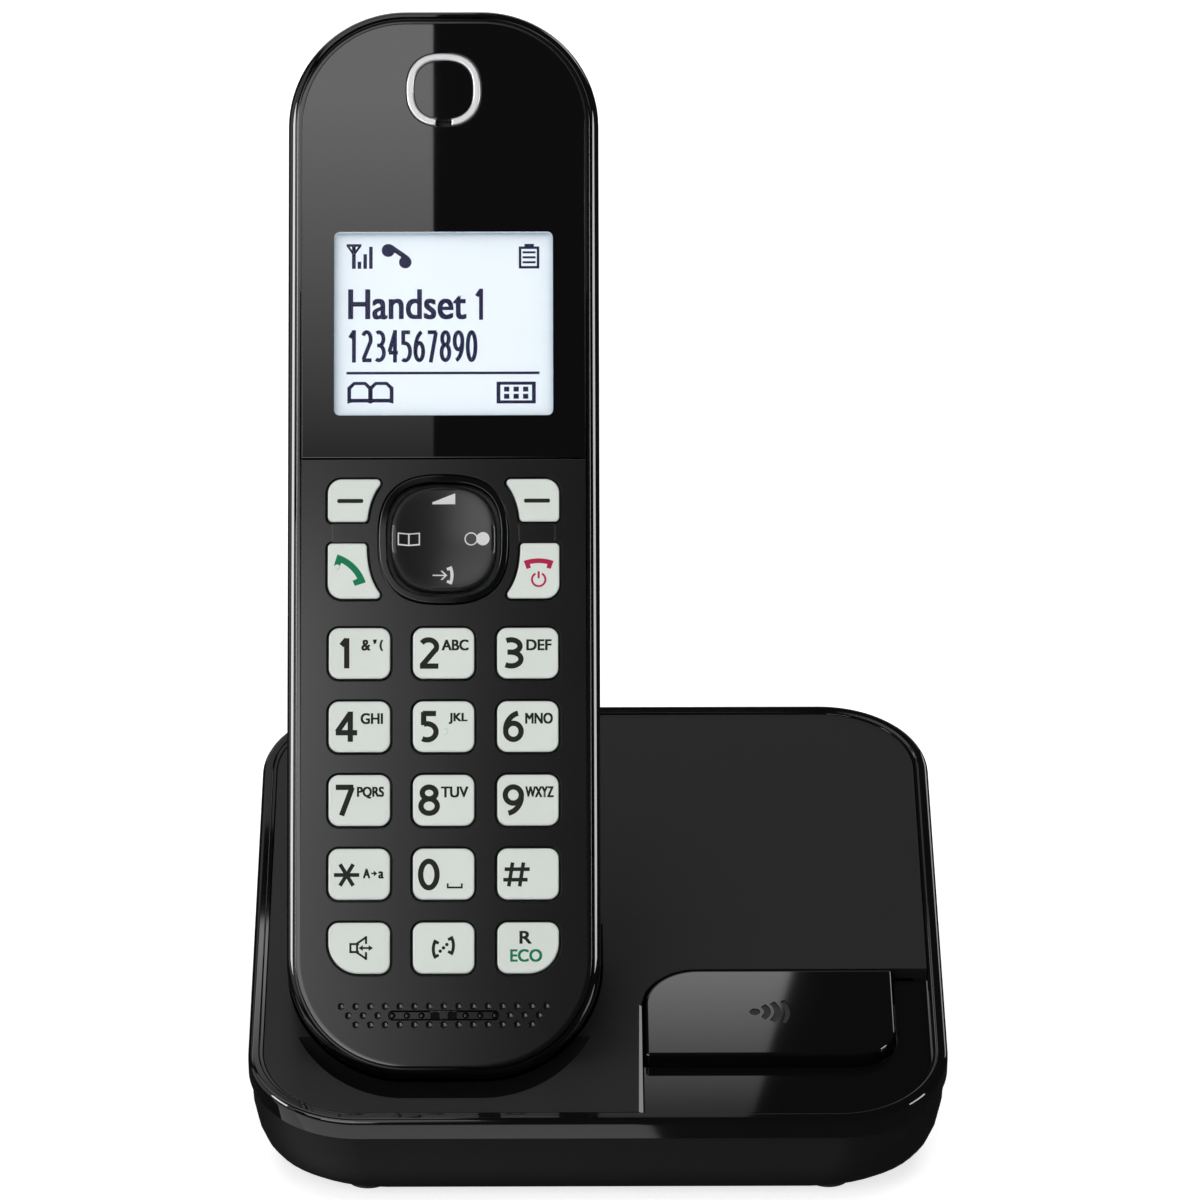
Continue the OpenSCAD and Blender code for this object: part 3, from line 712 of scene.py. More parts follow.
def repeated(name, template, spots, place, material, node):
    """A plain mesh with the template at every spot (x, y, z) of a turned frame. It stands for a node."""
    points = bpy.data.meshes.new(name)
    points.from_pydata([tuple(place @ Vector(spot)) for spot in spots], [], [])
    piece = link(name, points)
    holder = link(name + "_template", template)
    group = bpy.data.node_groups.new(name, "GeometryNodeTree")
    group.is_modifier = True
    face = group.interface
    face.new_socket("Points", in_out="INPUT", socket_type="NodeSocketGeometry")
    socket = {}
    for label, kind in (
        ("Template", "NodeSocketObject"),
        ("Turn", "NodeSocketVector"),
        ("Size", "NodeSocketFloat"),
        ("Material", "NodeSocketMaterial"),
    ):
        socket[label] = face.new_socket(label, in_out="INPUT", socket_type=kind).identifier
    face.new_socket("Result", in_out="OUTPUT", socket_type="NodeSocketGeometry")
    start = group.nodes.new("NodeGroupInput")
    end = group.nodes.new("NodeGroupOutput")
    info = group.nodes.new("GeometryNodeObjectInfo")
    spread = group.nodes.new("GeometryNodeInstanceOnPoints")
    solid = group.nodes.new("GeometryNodeRealizeInstances")
    paint = group.nodes.new("GeometryNodeSetMaterial")
    for source, sink in (
        (start.outputs["Points"], spread.inputs["Points"]),
        (start.outputs["Template"], info.inputs["Object"]),
        (info.outputs["Geometry"], spread.inputs["Instance"]),
        (start.outputs["Turn"], spread.inputs["Rotation"]),
        (start.outputs["Size"], spread.inputs["Scale"]),
        (spread.outputs["Instances"], solid.inputs["Geometry"]),
        (solid.outputs["Geometry"], paint.inputs["Geometry"]),
        (start.outputs["Material"], paint.inputs["Material"]),
        (paint.outputs["Geometry"], end.inputs["Result"]),
    ):
        group.links.new(source, sink)
    repeat = piece.modifiers.new("Repeat", "NODES")
    repeat.node_group = group
    repeat[socket["Template"]] = holder
    repeat[socket["Turn"]] = tuple(place.to_euler())
    repeat[socket["Size"]] = 1.0
    repeat[socket["Material"]] = material_for(material)
    bpy.context.view_layer.update()
    graph = bpy.context.evaluated_depsgraph_get()
    graph.update()
    mesh = bpy.data.meshes.new_from_object(piece.evaluated_get(graph))
    if len(mesh.polygons) != len(spots) * len(template.polygons):
        raise ValueError(f"{name} has {len(mesh.polygons)} faces")
    mesh.name = name
    piece.modifiers.remove(repeat)
    piece.data = mesh
    bpy.data.meshes.remove(points)
    bpy.data.objects.remove(holder)
    bpy.data.meshes.remove(template)
    bpy.data.node_groups.remove(group)
    if not mesh.materials:
        mesh.materials.append(material_for(material))
    return stand_in(piece, node)


def template_from(bm):
    """A mesh for the repeated parts, shaded smooth with sharp edges kept."""
    mesh = bpy.data.meshes.new("template")
    bm.to_mesh(mesh)
    bm.free()
    smooth(mesh, CREASE)
    mesh.attributes.remove(mesh.attributes["flat"])
    return mesh


def screw_template(radius, depth, shank_radius, shank_depth):
    """A cross-recess screw, head up, with the top of its head at z = 0."""
    bm = bmesh.new()
    arm, wide = radius * 0.62, radius * 0.16
    cross = [
        (arm, -wide), (arm, wide), (wide, wide), (wide, arm), (-wide, arm), (-wide, wide),
        (-arm, wide), (-arm, -wide), (-wide, -wide), (-wide, -arm), (wide, -arm), (wide, -wide),
    ]
    outer = disc(radius)
    add_plate(bm, [outer, cut_from(cross)], rounded_edge(-depth * 0.6, 0, depth * 0.2))
    add_plate(bm, [outer], [(0, -depth), (0, -depth * 0.6)])
    tip = [(shank_radius * 0.4, -shank_depth), (0, shank_radius - shank_depth)]
    add_plate(bm, [disc(shank_radius, steps=16)], tip + [(0, -depth)])
    return template_from(bm)


# ---- Legends of the keys ----
# Boxes are (x0, y0, x1, y1) in millimetres from the middle of a key.

DIGIT = (-3.88, -2.5, -0.62, 2.45)
DIGITS = {
    "key_1": ("1", (-3.25, -2.5, -1.36, 2.45)),
    "key_2": ("2", DIGIT),
    "key_3": ("3", DIGIT),
    "key_4": ("4", (-3.94, -2.5, -0.25, 2.45)),
    "key_5": ("5", (-3.8, -2.5, -0.75, 2.45)),
    "key_6": ("6", DIGIT),
    "key_7": ("7", (-3.85, -2.5, -0.6, 2.45)),
    "key_8": ("8", (-3.95, -2.5, -0.55, 2.45)),
    "key_9": ("9", (-3.95, -2.5, -0.6, 2.45)),
    "key_0": ("0", (-4.0, -2.6, -0.6, 2.4)),
}
WORDS = {
    "key_1": (("&", (0.3, 0.35, 1.75, 2.15)), ("(", (3.15, 0.25, 3.75, 2.15))),
    "key_2": (("ABC", (-0.3, 0.35, 3.95, 2.15)),),
    "key_3": (("DEF", (-0.2, 0.35, 3.77, 2.15)),),
    "key_4": (("GHI", (0.2, 0.35, 3.72, 2.15)),),
    "key_5": (("JKL", (0.8, 0.35, 3.77, 2.15)),),
    "key_6": (("MNO", (-0.4, 0.35, 3.95, 2.15)),),
    "key_7": (("PQRS", (-0.35, 0.2, 3.9, 2.15)),),
    "key_8": (("TUV", (-0.4, 0.35, 3.9, 2.15)),),
    "key_9": (("WXYZ", (-0.4, 0.35, 4.05, 2.15)),),
    "key_star": (("A", (0.6, -0.72, 1.75, 0.88)), ("a", (3.0, -0.75, 3.86, 0.45))),
    "key_recall": (("R", (-1.35, 0.58, 0.58, 2.65)), ("ECO", (-2.8, -2.25, 2.2, -0.2))),
}


def ellipse_arc(cx, cy, rx, ry, start, end, steps=18):
    """Points along part of an ellipse, between two angles in degrees."""
    angles = [math.radians(start + (end - start) * k / steps) for k in range(steps + 1)]
    return [(cx + rx * math.cos(a), cy + ry * math.sin(a)) for a in angles]


OVAL_STEPS = 35


def oval(cx, cy, rx, ry):
    """A closed line round an ellipse."""
    return ellipse_arc(cx, cy, rx, ry, 0, 350, OVAL_STEPS)


# Centre lines of the digits in a unit square. A line as long as an oval is closed.
STROKES = {
    "0": [oval(0.5, 0.5, 0.5, 0.5)],
    "1": [[(0.8, -0.08), (0.8, 1.08)], [(0.0, 0.8), (0.8, 1.04)]],
    "2": [
        ellipse_arc(0.46, 0.745, 0.52, 0.265, 148, -34),
        [(0.9, 0.625), (0.04, 0.03)],
        [(-0.1, 0.0), (1.1, 0.0)],
    ],
    "3": [
        ellipse_arc(0.36, 0.765, 0.58, 0.24, 122, -90),
        ellipse_arc(0.36, 0.265, 0.64, 0.265, 90, -125),
        [(0.12, 0.53), (0.4, 0.53)],
    ],
    "4": [[(0.72, 1.0), (0.02, 0.3)], [(-0.06, 0.27), (1.12, 0.27)], [(0.74, -0.08), (0.74, 1.08)]],
    "5": [
        [(0.05, 1.0), (1.0, 1.0)],
        [(0.12, 1.06), (0.12, 0.55)],
        ellipse_arc(0.36, 0.3, 0.64, 0.31, 112, -122),
    ],
    "6": [oval(0.5, 0.31, 0.5, 0.31), ellipse_arc(1.02, 0.36, 1.02, 0.66, 178, 102)],
    "7": [[(-0.1, 1.0), (1.05, 1.0)], [(0.97, 1.0), (0.28, -0.08)]],
    "8": [oval(0.5, 0.775, 0.42, 0.225), oval(0.5, 0.275, 0.5, 0.275)],
    "9": [oval(0.5, 0.69, 0.5, 0.31), ellipse_arc(-0.02, 0.64, 1.02, 0.66, -2, -78)],
}


def pen_line(points, width):
    """Outline of a stroke of constant width along a line of points."""
    sides = ([], [])
    for i, point in enumerate(points):
        before = Vector(points[max(i - 1, 0)])
        after = Vector(points[min(i + 1, len(points) - 1)])
        along = (after - before).normalized()
        across = Vector((-along.y, along.x)) * width / 2
        sides[0].append(tuple(Vector(point) - across))
        sides[1].append(tuple(Vector(point) + across))
    return sides[0] + sides[1][::-1]


def digit_shapes(digit, box, width):
    """Outlines of a digit whose strokes fill a box (x0, y0, x1, y1)."""
    shapes = []
    x0, y0 = box[0] + width / 2, box[1] + width / 2
    wide, tall = box[2] - box[0] - width, box[3] - box[1] - width
    for line in STROKES[digit]:
        points = [(x0 + x * wide, y0 + y * tall) for x, y in line]
        if len(points) == OVAL_STEPS + 1:
            shapes.append([offset(points, -width / 2), cut_from(offset(points, width / 2))])
        else:
            shapes.append([pen_line(points, width)])
    return shapes


def sign_shapes(node):
    """Drawn signs of a key, as (ink, outlines in millimetres from the middle of the key)."""
    if node == "key_1":
        comma = [(2.15, 2.15), (2.75, 2.15), (2.6, 1.55), (2.2, 1.35), (2.3, 1.65), (2.15, 1.7)]
        return [("ink_dark", [comma])]
    if node == "key_star":
        x, y = -1.95, -0.15
        arms = ((1.98, 0), (1.0296, 1.683), (-1.0296, 1.683))
        star = [bar((x + dx, y + dy), (x - dx, y - dy), 0.6) for dx, dy in arms]
        arrow = [(1.9, -0.02), (2.3, -0.02), (2.3, -0.38), (2.85, 0.08), (2.3, 0.54), (2.3, 0.2), (1.9, 0.2)]
        return [("ink_dark", star + [arrow])]
    if node == "key_0":
        tray = [(0.52, -2.3), (3.0, -2.3), (3.0, -1.5), (2.72, -1.5)]
        tray += [(2.72, -2.0), (0.8, -2.0), (0.8, -1.5), (0.52, -1.5)]
        return [("ink_dark", [tray])]
    if node == "key_hash":
        strokes = [bar((-3.0, -2.0), (-2.4, 1.75), 0.58), bar((-1.3, -2.0), (-0.7, 1.75), 0.58)]
        strokes += [bar((-3.86, -0.95), (-0.05, -0.95), 0.58), bar((-3.65, 0.7), (0.28, 0.7), 0.58)]
        return [("ink_dark", strokes)]
    if node in ("soft_key_left", "soft_key_right"):
        middle = -0.6 if node == "soft_key_left" else 0.65
        return [("ink_dark", [rounded(4.1, 0.64, 0.25, (middle, -0.12), 4)])]
    if node == "key_talk":
        return [("ink_green", [receiver_sign((-0.5, 0.2), 6.3, -45, bow=0.46)])]
    if node == "key_off":
        power = [band((0.85, -1.45), 0.9, 1.22, 118, 422), bar((0.85, -1.25), (0.85, -0.15), 0.34)]
        return [("ink_red", [receiver_sign((0.85, 1.15), 4.7, 0, bow=0.34)] + power)]
    if node == "key_speakerphone":
        box = [bar((-1.5, 0.62), (0.0, 0.62), 0.34), bar((-1.5, -0.62), (0.0, -0.62), 0.34)]
        box += [bar((-1.34, -0.75), (-1.34, 0.75), 0.34), bar((-0.3, -0.75), (-0.3, 0.75), 0.34)]
        cone = [bar((-0.35, 0.68), (1.2, 1.75), 0.34), bar((-0.35, -0.68), (1.2, -1.75), 0.34)]
        cone += [bar((1.1, 1.85), (1.1, 0.65), 0.34), bar((1.1, -1.85), (1.1, -0.65), 0.34)]
        arrow = [bar((0.4, 0), (1.7, 0), 0.3)]
        arrow += [[(1.5, -0.45), (2.2, 0), (1.5, 0.45)], [(0.6, -0.45), (0.6, 0.45), (-0.05, 0)]]
        return [("ink_dark", box + cone + arrow)]
    if node == "key_intercom":
        dots = [disc(0.27, (x, x), 16) for x in (-0.52, 0.0, 0.52)]
        near = receiver_sign((-1.35, -0.2), 3.1, 90, bow=0.5)
        far = receiver_sign((1.3, 0.35), 3.1, -90, bow=0.5)
        return [("ink_dark", [near, far] + dots)]
    return []


# A key's finishes, in the order of its material slots, and the raised dots that a finger looks for. The dark one
# is painted shade on the key's walls below the face.
KEY_FINISHES = ("key", "ink_dark", "ink_green", "ink_red", "dark_part")
FINDER_DOTS = {"key_5": (0.35, -0.7), "key_talk": (-2.6, 0.6)}


def key_legend(bm, node, centre, height):
    """Adds a key's printed legend."""
    shapes = []
    if node in DIGITS:
        digit, box = DIGITS[node]
        shapes += [("ink_dark", shape) for shape in digit_shapes(digit, box, 0.84)]
    for label, signs in sign_shapes(node):
        shapes += [(label, [sign]) for sign in signs]
    for i, (label, loops) in enumerate(shapes):
        loops = millimetres(upright_first(loops), centre)
        slot = KEY_FINISHES.index(label)
        add_sign(bm, [loops], height - LEGEND_SINK, LEGEND_FILM + i * FILM_STEP, slot)
    for words, box in WORDS.get(node, ()):
        shifted = [box[i] * MM + centre[i % 2] for i in range(4)]
        slot = KEY_FINISHES.index("ink_green" if words == "ECO" else "ink_dark")
        add_text(bm, words, shifted, height - LEGEND_SINK, LEGEND_FILM, 0.08 * MM, slot)


def key_piece(node):
    """A key cap with softened edges, painted shade on its walls below the face, and its printed legend."""
    look = bpy.context.scene.telephone_looks
    low, high = local_box(HANDSET, node)
    loops = face_loops(node, HANDSET, high.z)
    edge = look.key_edge
    bm = bmesh.new()
    profile = [(-0.6 * MM, low.z), (-0.6 * MM, low.z + 0.7 * MM), (0.02 * MM, low.z + 0.75 * MM)]
    add_plate(bm, loops[:1], profile + rounded_edge(0.12 * MM, high.z, edge, steps=5))
    # Walls and flange below the face get the dark finish: painted shade in the gap round the key.
    for face in bm.faces:
        if face.calc_center_median().z < 0.1 * MM:
            face.material_index = KEY_FINISHES.index("dark_part")
    x, y = middle_of(low, high)
    key_legend(bm, node, (x, y), high.z)
    if node in FINDER_DOTS:
        dx, dy = FINDER_DOTS[node]
        dot = disc(0.42 * MM, (x + dx * MM, y + dy * MM), 20)
        add_plate(bm, [dot], rounded_edge(high.z - 0.1 * MM, high.z + 0.22 * MM, 0.2 * MM))
    finish_piece(node + "_cap", bm, HANDSET, KEY_FINISHES, node)


# ---- Sizes and colours a user can change ----


def number_setting(name, description, default, least, most, **more):
    """A number that a user can change."""
    return FloatProperty(name=name, description=description, default=default, min=least, max=most, **more)


def length_setting(name, description, default, least, most):
    """A length that a user can change."""
    return number_setting(name, description, default, least, most, subtype="DISTANCE", unit="LENGTH")


def colour_setting(name, description, default):
    """A colour that a user can change."""
    return FloatVectorProperty(
        name=name, description=description, subtype="COLOR", size=3, default=default, min=0, max=1
    )


class TelephoneLooks(bpy.types.PropertyGroup):
    """Finish of the telephone: colours, edge sizes, grain and the display's light."""

    satin_black: colour_setting(
        "Key field", "Colour of the satin field round the keys", (0.0055, 0.0054, 0.0056)
    )
    base_black: colour_setting("Base top", "Colour of the base's satin top", (0.006, 0.0055, 0.0063))
    shell_black: colour_setting("Lower shell", "Colour of the base's lower shell", (0.0046, 0.0043, 0.0046))
    gloss_black: colour_setting(
        "Gloss black", "Colour of the glossy rims, lens and button", (0.004, 0.004, 0.0045)
    )
    pad_black: colour_setting("Navigation pad", "Colour of the navigation pad", (0.011, 0.011, 0.012))
    key_colour: colour_setting("Keys", "Colour of the key caps", (0.74, 0.79, 0.74))
    talk_green: colour_setting("Talk sign", "Colour of the talk key's sign", (0.003, 0.2, 0.085))
    off_red: colour_setting("Off sign", "Colour of the off key's sign", (0.46, 0.012, 0.07))
    screen_colour: colour_setting("Display", "Colour of the lit display", (0.78, 0.86, 0.92))
    screen_glow: number_setting("Display light", "Strength of the display's light", 0.59, 0, 5)
    grain_size: length_setting(
        "Grain size", "Size of the satin surfaces' moulded grain", 0.25 * MM, 0.05 * MM, 2 * MM
    )
    key_edge: length_setting(
        "Key edge", "Radius of the key caps' upper edge", 0.32 * MM, 0.1 * MM, 0.6 * MM
    )
    key_gap: length_setting("Key gap", "Extra gap round each key", 0.1 * MM, 0, 0.3 * MM)
    groove: length_setting(
        "Face groove", "Width of the groove round the handset's face", 0.26 * MM, 0.1 * MM, 0.4 * MM
    )
    curve_steps: IntProperty(
        name="Corner steps", description="Steps in each large round corner", default=24, min=8, max=64
    )


class TelephoneStage(bpy.types.PropertyGroup):
    """Floor, light and camera."""

    floor_size: length_setting("Floor size", "Width of the floor", 8.0, 1, 50)
    floor_light: number_setting("Floor light", "Lightness that the floor has of its own", 0.75, 0, 2)
    soft_light: number_setting("Soft light", "Strength of the soft lights in front and above", 1.66, 0, 50)
    card_light: number_setting(
        "Card light", "Strength of the cards that are reflected in the object", 1.0, 0, 50
    )
    fill: number_setting("Fill", "Strength of the surrounding light", 0.02, 0, 5)
    lens: number_setting("Lens", "Focal length of the camera", 215.7, 20, 500)


# ---- Operators ----


def handset_outline(inset):
    """Outline of the handset's face, drawn in by inset."""
    low, high = local_box(HANDSET, "handset_front_case")
    width, length = high.x - low.x, high.y - low.y
    steps = bpy.context.scene.telephone_looks.curve_steps
    return rounded(width - 2 * inset, length - 2 * inset, HANDSET_CORNER - inset, (0, length / 2), steps)


class TELEPHONE_OT_handset_front(bpy.types.Operator):
    """Builds the handset's front: the glossy rim, the satin key field and the microphone's dimples"""

    bl_idname = "telephone.handset_front"
    bl_label = "Handset front"

    def execute(self, context):
        look = context.scene.telephone_looks
        split = local_box(HANDSET, "handset_front_case")[0].z
        rim = [
            (0, -1.9), (0.05, -1.4), (0.18, -0.98), (0.4, -0.64), (0.56, -0.45), (0.6, -0.41), (1.08, -0.04),
            (1.11, -0.03), (RIM_WIDTH / MM, -0.08), (RIM_WIDTH / MM, -1.0), (2.0, -1.0),
        ]
        rim = [(0, split), *in_mm(rim), (2.0 * MM, split)]
        bm = bmesh.new()
        add_ring(bm, handset_outline(0), rim)
        finish_piece("handset_rim", bm, HANDSET, ["gloss"], "handset_front_case")

        loops = face_loops("handset_front_case", HANDSET, 0.0)
        dots = [loop for loop in loops[1:] if abs(area_of(loop)) < 1.1 * MM * MM]
        bm = bmesh.new()
        holes = []
        shares = [1]
        for loop in loops[1:]:
            small = max(p[1] for p in loop) < 14 * MM
            holes.append(loop if small else offset(loop, look.key_gap))
            shares.append(0.06 if small else 0.12)
        edge = [(0, -2.2), (0, -0.2), (0.08, -0.13), (0.24, -0.065), (0.5, -0.02), (0.8, 0)]
        add_plate(bm, [handset_outline(RIM_WIDTH + look.groove)] + holes, in_mm(edge), shares)
        for side in (-1, 1):
            wing = rounded(5.7 * MM, 3.0 * MM, 0.2 * MM, (side * 14.7 * MM, 85.65 * MM), 4)
            add_plate(bm, [wing], rounded_edge(-0.1 * MM, 0.07 * MM, 0.05 * MM))
        finish_piece("key_field", bm, HANDSET, ["key_field"], "handset_front_case")

        cup = bmesh.new()
        levels = [(0, -0.6), (0, -0.16), (0.14, -0.24), (0.3, -0.28)]
        add_plate(cup, [disc(0.53 * MM, steps=20)], in_mm(levels))
        middles = [[sum(p[i] for p in loop) / len(loop) for i in (0, 1)] + [0] for loop in dots]
        template = template_from(cup)
        repeated("microphone_dimples", template, middles, HANDSET, "key_field", "handset_front_case")

        slots = [loop for loop in loops[1:] if 15 * MM * MM < abs(area_of(loop)) < 40 * MM * MM]
        slot = min(slots, key=lambda loop: min(p[1] for p in loop))
        self.microphone(cut_from(slot)[::-1])
        return {"FINISHED"}

    def microphone(self, slot):
        """Fills the microphone's slot with an inlay in three parts, with a sunk square between them; the squares
        and the floor are dull black, painted shade in the slot's openings.
        """
        gap = 0.16 * MM
        level = (min(p[1] for p in slot) + max(p[1] for p in slot)) / 2
        half = max(p[1] for p in slot) - level - gap
        end = max(p[0] for p in slot) - gap
        near, far = 0.7 * MM, 2.0 * MM
        pitch = 2.29 * MM
        surface = in_mm([(0, -1.2), (0, -0.2), (0.06, -0.12)])
        bead = in_mm([(0, -1.1), (0, -0.34), (0.12, -0.26)])
        bm = bmesh.new()
        add_plate(bm, [offset(slot, 0.05 * MM)], in_mm([(0, -2.4), (0, -2.2)]))
        for side in (-1, 1):
            square = rounded(far - near, 2 * half, 0.05 * MM, (side * (near + far) / 2, level), 2)
            add_plate(bm, [square], in_mm([(0, -1.1), (0, -0.3)]))
        # The floor and the squares take the dull black: painted shade in the slot's openings.
        paint_from(bm, 0, 1)
        first = len(bm.faces)
        add_plate(bm, [rounded(2 * near, 2 * half, 0.05 * MM, (0, level), 2)], surface)
        for side in (-1, 1):
            tip = ellipse_arc(end - half, level, half, half, -90, 90)
            loop = [(far, level - half), *tip, (far, level + half)]
            loop = [(side * x, y) for x, y in loop][::side]
            spots = [(side * (k + 0.5) * pitch, level) for k in (1, 2, 3)]
            holes = [cut_from(disc(0.5 * MM, spot, 20)) for spot in spots]
            add_plate(bm, [loop] + holes, surface, [1, 0, 0, 0])
            for spot in spots:
                add_plate(bm, [disc(0.3 * MM, spot, 20)], bead)
        paint_from(bm, first, 0)
        finish_piece("microphone_slot", bm, HANDSET, ["key_field", "bed"], "handset_front_case")


class TELEPHONE_OT_handset_back(bpy.types.Operator):
    """Builds the handset's rear case, the battery cover and the screws in the back"""

    bl_idname = "telephone.handset_back"
    bl_label = "Handset back"

    def execute(self, context):
        merged_copy("rear_case", "handset_rear_case", "shell_satin", 0.22 * MM)
        merged_copy("battery_door", "battery_cover", "shell_satin", 0.2 * MM)
        back = HANDSET @ Matrix.Rotation(math.pi, 4, "X")
        inward = HANDSET.inverted()
        middles = [inward @ ((low + high) / 2) for low, high in islands("handset_screws")]
        low, high = local_box(HANDSET, "handset_screws")
        spots = [(middle.x, -middle.y, -low.z) for middle in middles]
        head = screw_template(2.2 * MM, 1.5 * MM, 0.85 * MM, high.z - low.z - 0.05 * MM)
        repeated("rear_screws", head, spots, back, "steel", "handset_screws")
        return {"FINISHED"}


class TELEPHONE_OT_screen(bpy.types.Operator):
    """Builds the lens with its clear window, the display with its graphics and the earpiece ring"""

    bl_idname = "telephone.screen"
    bl_label = "Lens and display"

    def execute(self, context):
        low, high = local_box(HANDSET, "lcd_panel")
        middle = Vector(middle_of(low, high))
        width, length = high.x - low.x - 1.2 * MM, high.y - low.y - 1.2 * MM
        window = rounded(width, length, 0.9 * MM, middle, 6)
        lens_low = local_box(HANDSET, "screen_lens")[0].z
        loops = face_loops("screen_lens", HANDSET, 0.0)
        bm = bmesh.new()
        shares = [1] * len(loops) + [0]
        add_plate(bm, loops + [cut_from(window)], rounded_edge(lens_low, 0, 0.14 * MM), shares)
        finish_piece("lens_plate", bm, HANDSET, ["lens"], "screen_lens")
        bm = bmesh.new()
        add_plate(bm, [offset(window, 0.005 * MM)], [(0, lens_low), (0, -0.002 * MM)])
        finish_piece("lens_window", bm, HANDSET, ["window"], "screen_lens")

        bm = bmesh.new()
        panel = rounded(high.x - low.x, high.y - low.y, 0.3 * MM, middle, 4)
        add_plate(bm, [panel], [(0, low.z), (0, high.z - 0.1 * MM), (0.1 * MM, high.z)])
        self.graphics(bm, middle, high.z)
        piece = finish_piece("display", bm, HANDSET, ["display", "ink_screen"], "lcd_panel")
        layer = piece.data.uv_layers.new(name="screen")
        back = HANDSET.inverted()
        for loop in piece.data.loops:
            spot = (back @ piece.data.vertices[loop.vertex_index].co).xy - middle
            layer.data[loop.index].uv = (spot.x / width + 0.5, spot.y / length + 0.5)

        bm = bmesh.new()
        low, high = local_box(HANDSET, "earpiece_ring")
        add_plate(bm, face_loops("earpiece_ring", HANDSET, high.z), rounded_edge(low.z, high.z, 0.26 * MM))
        finish_piece("ear_ring", bm, HANDSET, ["silver"], "earpiece_ring")
        return {"FINISHED"}

    def graphics(self, bm, middle, height):
        """Status row, two lines of text, a rule and the soft keys' signs, in millimetres from the middle."""
        film = (height - 0.01 * MM, 0.04 * MM)
        shapes = [bar((-15.4, 12.9), (-13.05, 12.9), 0.42), bar((-14.25, 12.9), (-14.25, 9.15), 0.6)]
        shapes += [bar((-15.2, 12.8), (-14.3, 11.5), 0.35), bar((-13.25, 12.8), (-14.2, 11.5), 0.35)]
        for x, y in ((-13.36, 10.3), (-12.45, 11.5), (-11.55, 12.7)):
            shapes.append(bar((x, 9.15), (x, y), 0.56))
        shapes += [disc(1.05, (-8.8, 12.1), 20), disc(1.0, (-6.1, 10.2), 20)]
        shapes.append(bar((-8.4, 12.65), (-5.7, 10.75), 0.8))
        shapes.append([box_loop(11.9, 9.15, 15.15, 12.7), cut_from(box_loop(12.3, 9.55, 14.75, 12.3))])
        shapes.append(bar((12.8, 12.9), (14.3, 12.9), 0.42))
        shapes += [bar((12.5, y), (14.55, y), 0.34) for y in (11.75, 10.95, 10.15)]
        shapes.append(bar((-15.4, -7.6), (15.15, -7.6), 0.42))
        for side in (-1, 1):
            right = [(1.2, -12.3), (1.95, -12.5), (1.95, -9.9), (0.95, -9.0)]
            inner = [(0.75, -9.5), (1.35, -10.15), (1.35, -11.7)]
            page = [(-x, y) for x, y in right[1::-1]] + right + [(-x, y) for x, y in right[:1:-1]]
            inner = [(-x, y) for x, y in inner[::-1]] + inner
            shapes.append([[(x - 11.6 + side * 1.7, y) for x, y in loop] for loop in (page, inner)])
        shapes.append([box_loop(8.35, -12.5, 14.55, -9.0), cut_from(box_loop(8.95, -12.0, 13.95, -9.5))])
        dots = [(x, y) for x in (9.95, 11.45, 12.95) for y in (-10.2, -11.35)]
        shapes += [bar((x - 0.42, y), (x + 0.42, y), 0.78) for x, y in dots]
        for i, digit in enumerate("1234567890"):
            left = -15.15 + i * 2.07
            wide = 1.4 if digit == "1" else 1.85
            shapes += digit_shapes(digit, (left, -5.85, left + wide, -0.75), 0.62)
        shapes += digit_shapes("1", (4.9, 0.95, 6.4, 5.9), 0.64)
        for shape in shapes:
            loops = shape if isinstance(shape[0], list) else [shape]
            add_sign(bm, [millimetres(upright_first(loops), middle)], *film, 1)
        shifted = [side * MM + middle[i % 2] for i, side in enumerate((-15.15, 0.95, 3.6, 5.9))]
        add_text(bm, "Handset", shifted, *film, 0.13 * MM, 1)


class TELEPHONE_OT_keys(bpy.types.Operator):
    """Builds every key cap with its printed legend"""

    bl_idname = "telephone.keys"
    bl_label = "Keys"

    def execute(self, context):
        for node in NODES:
            if node.startswith(("key_", "soft_key_")):
                key_piece(node)
        return {"FINISHED"}


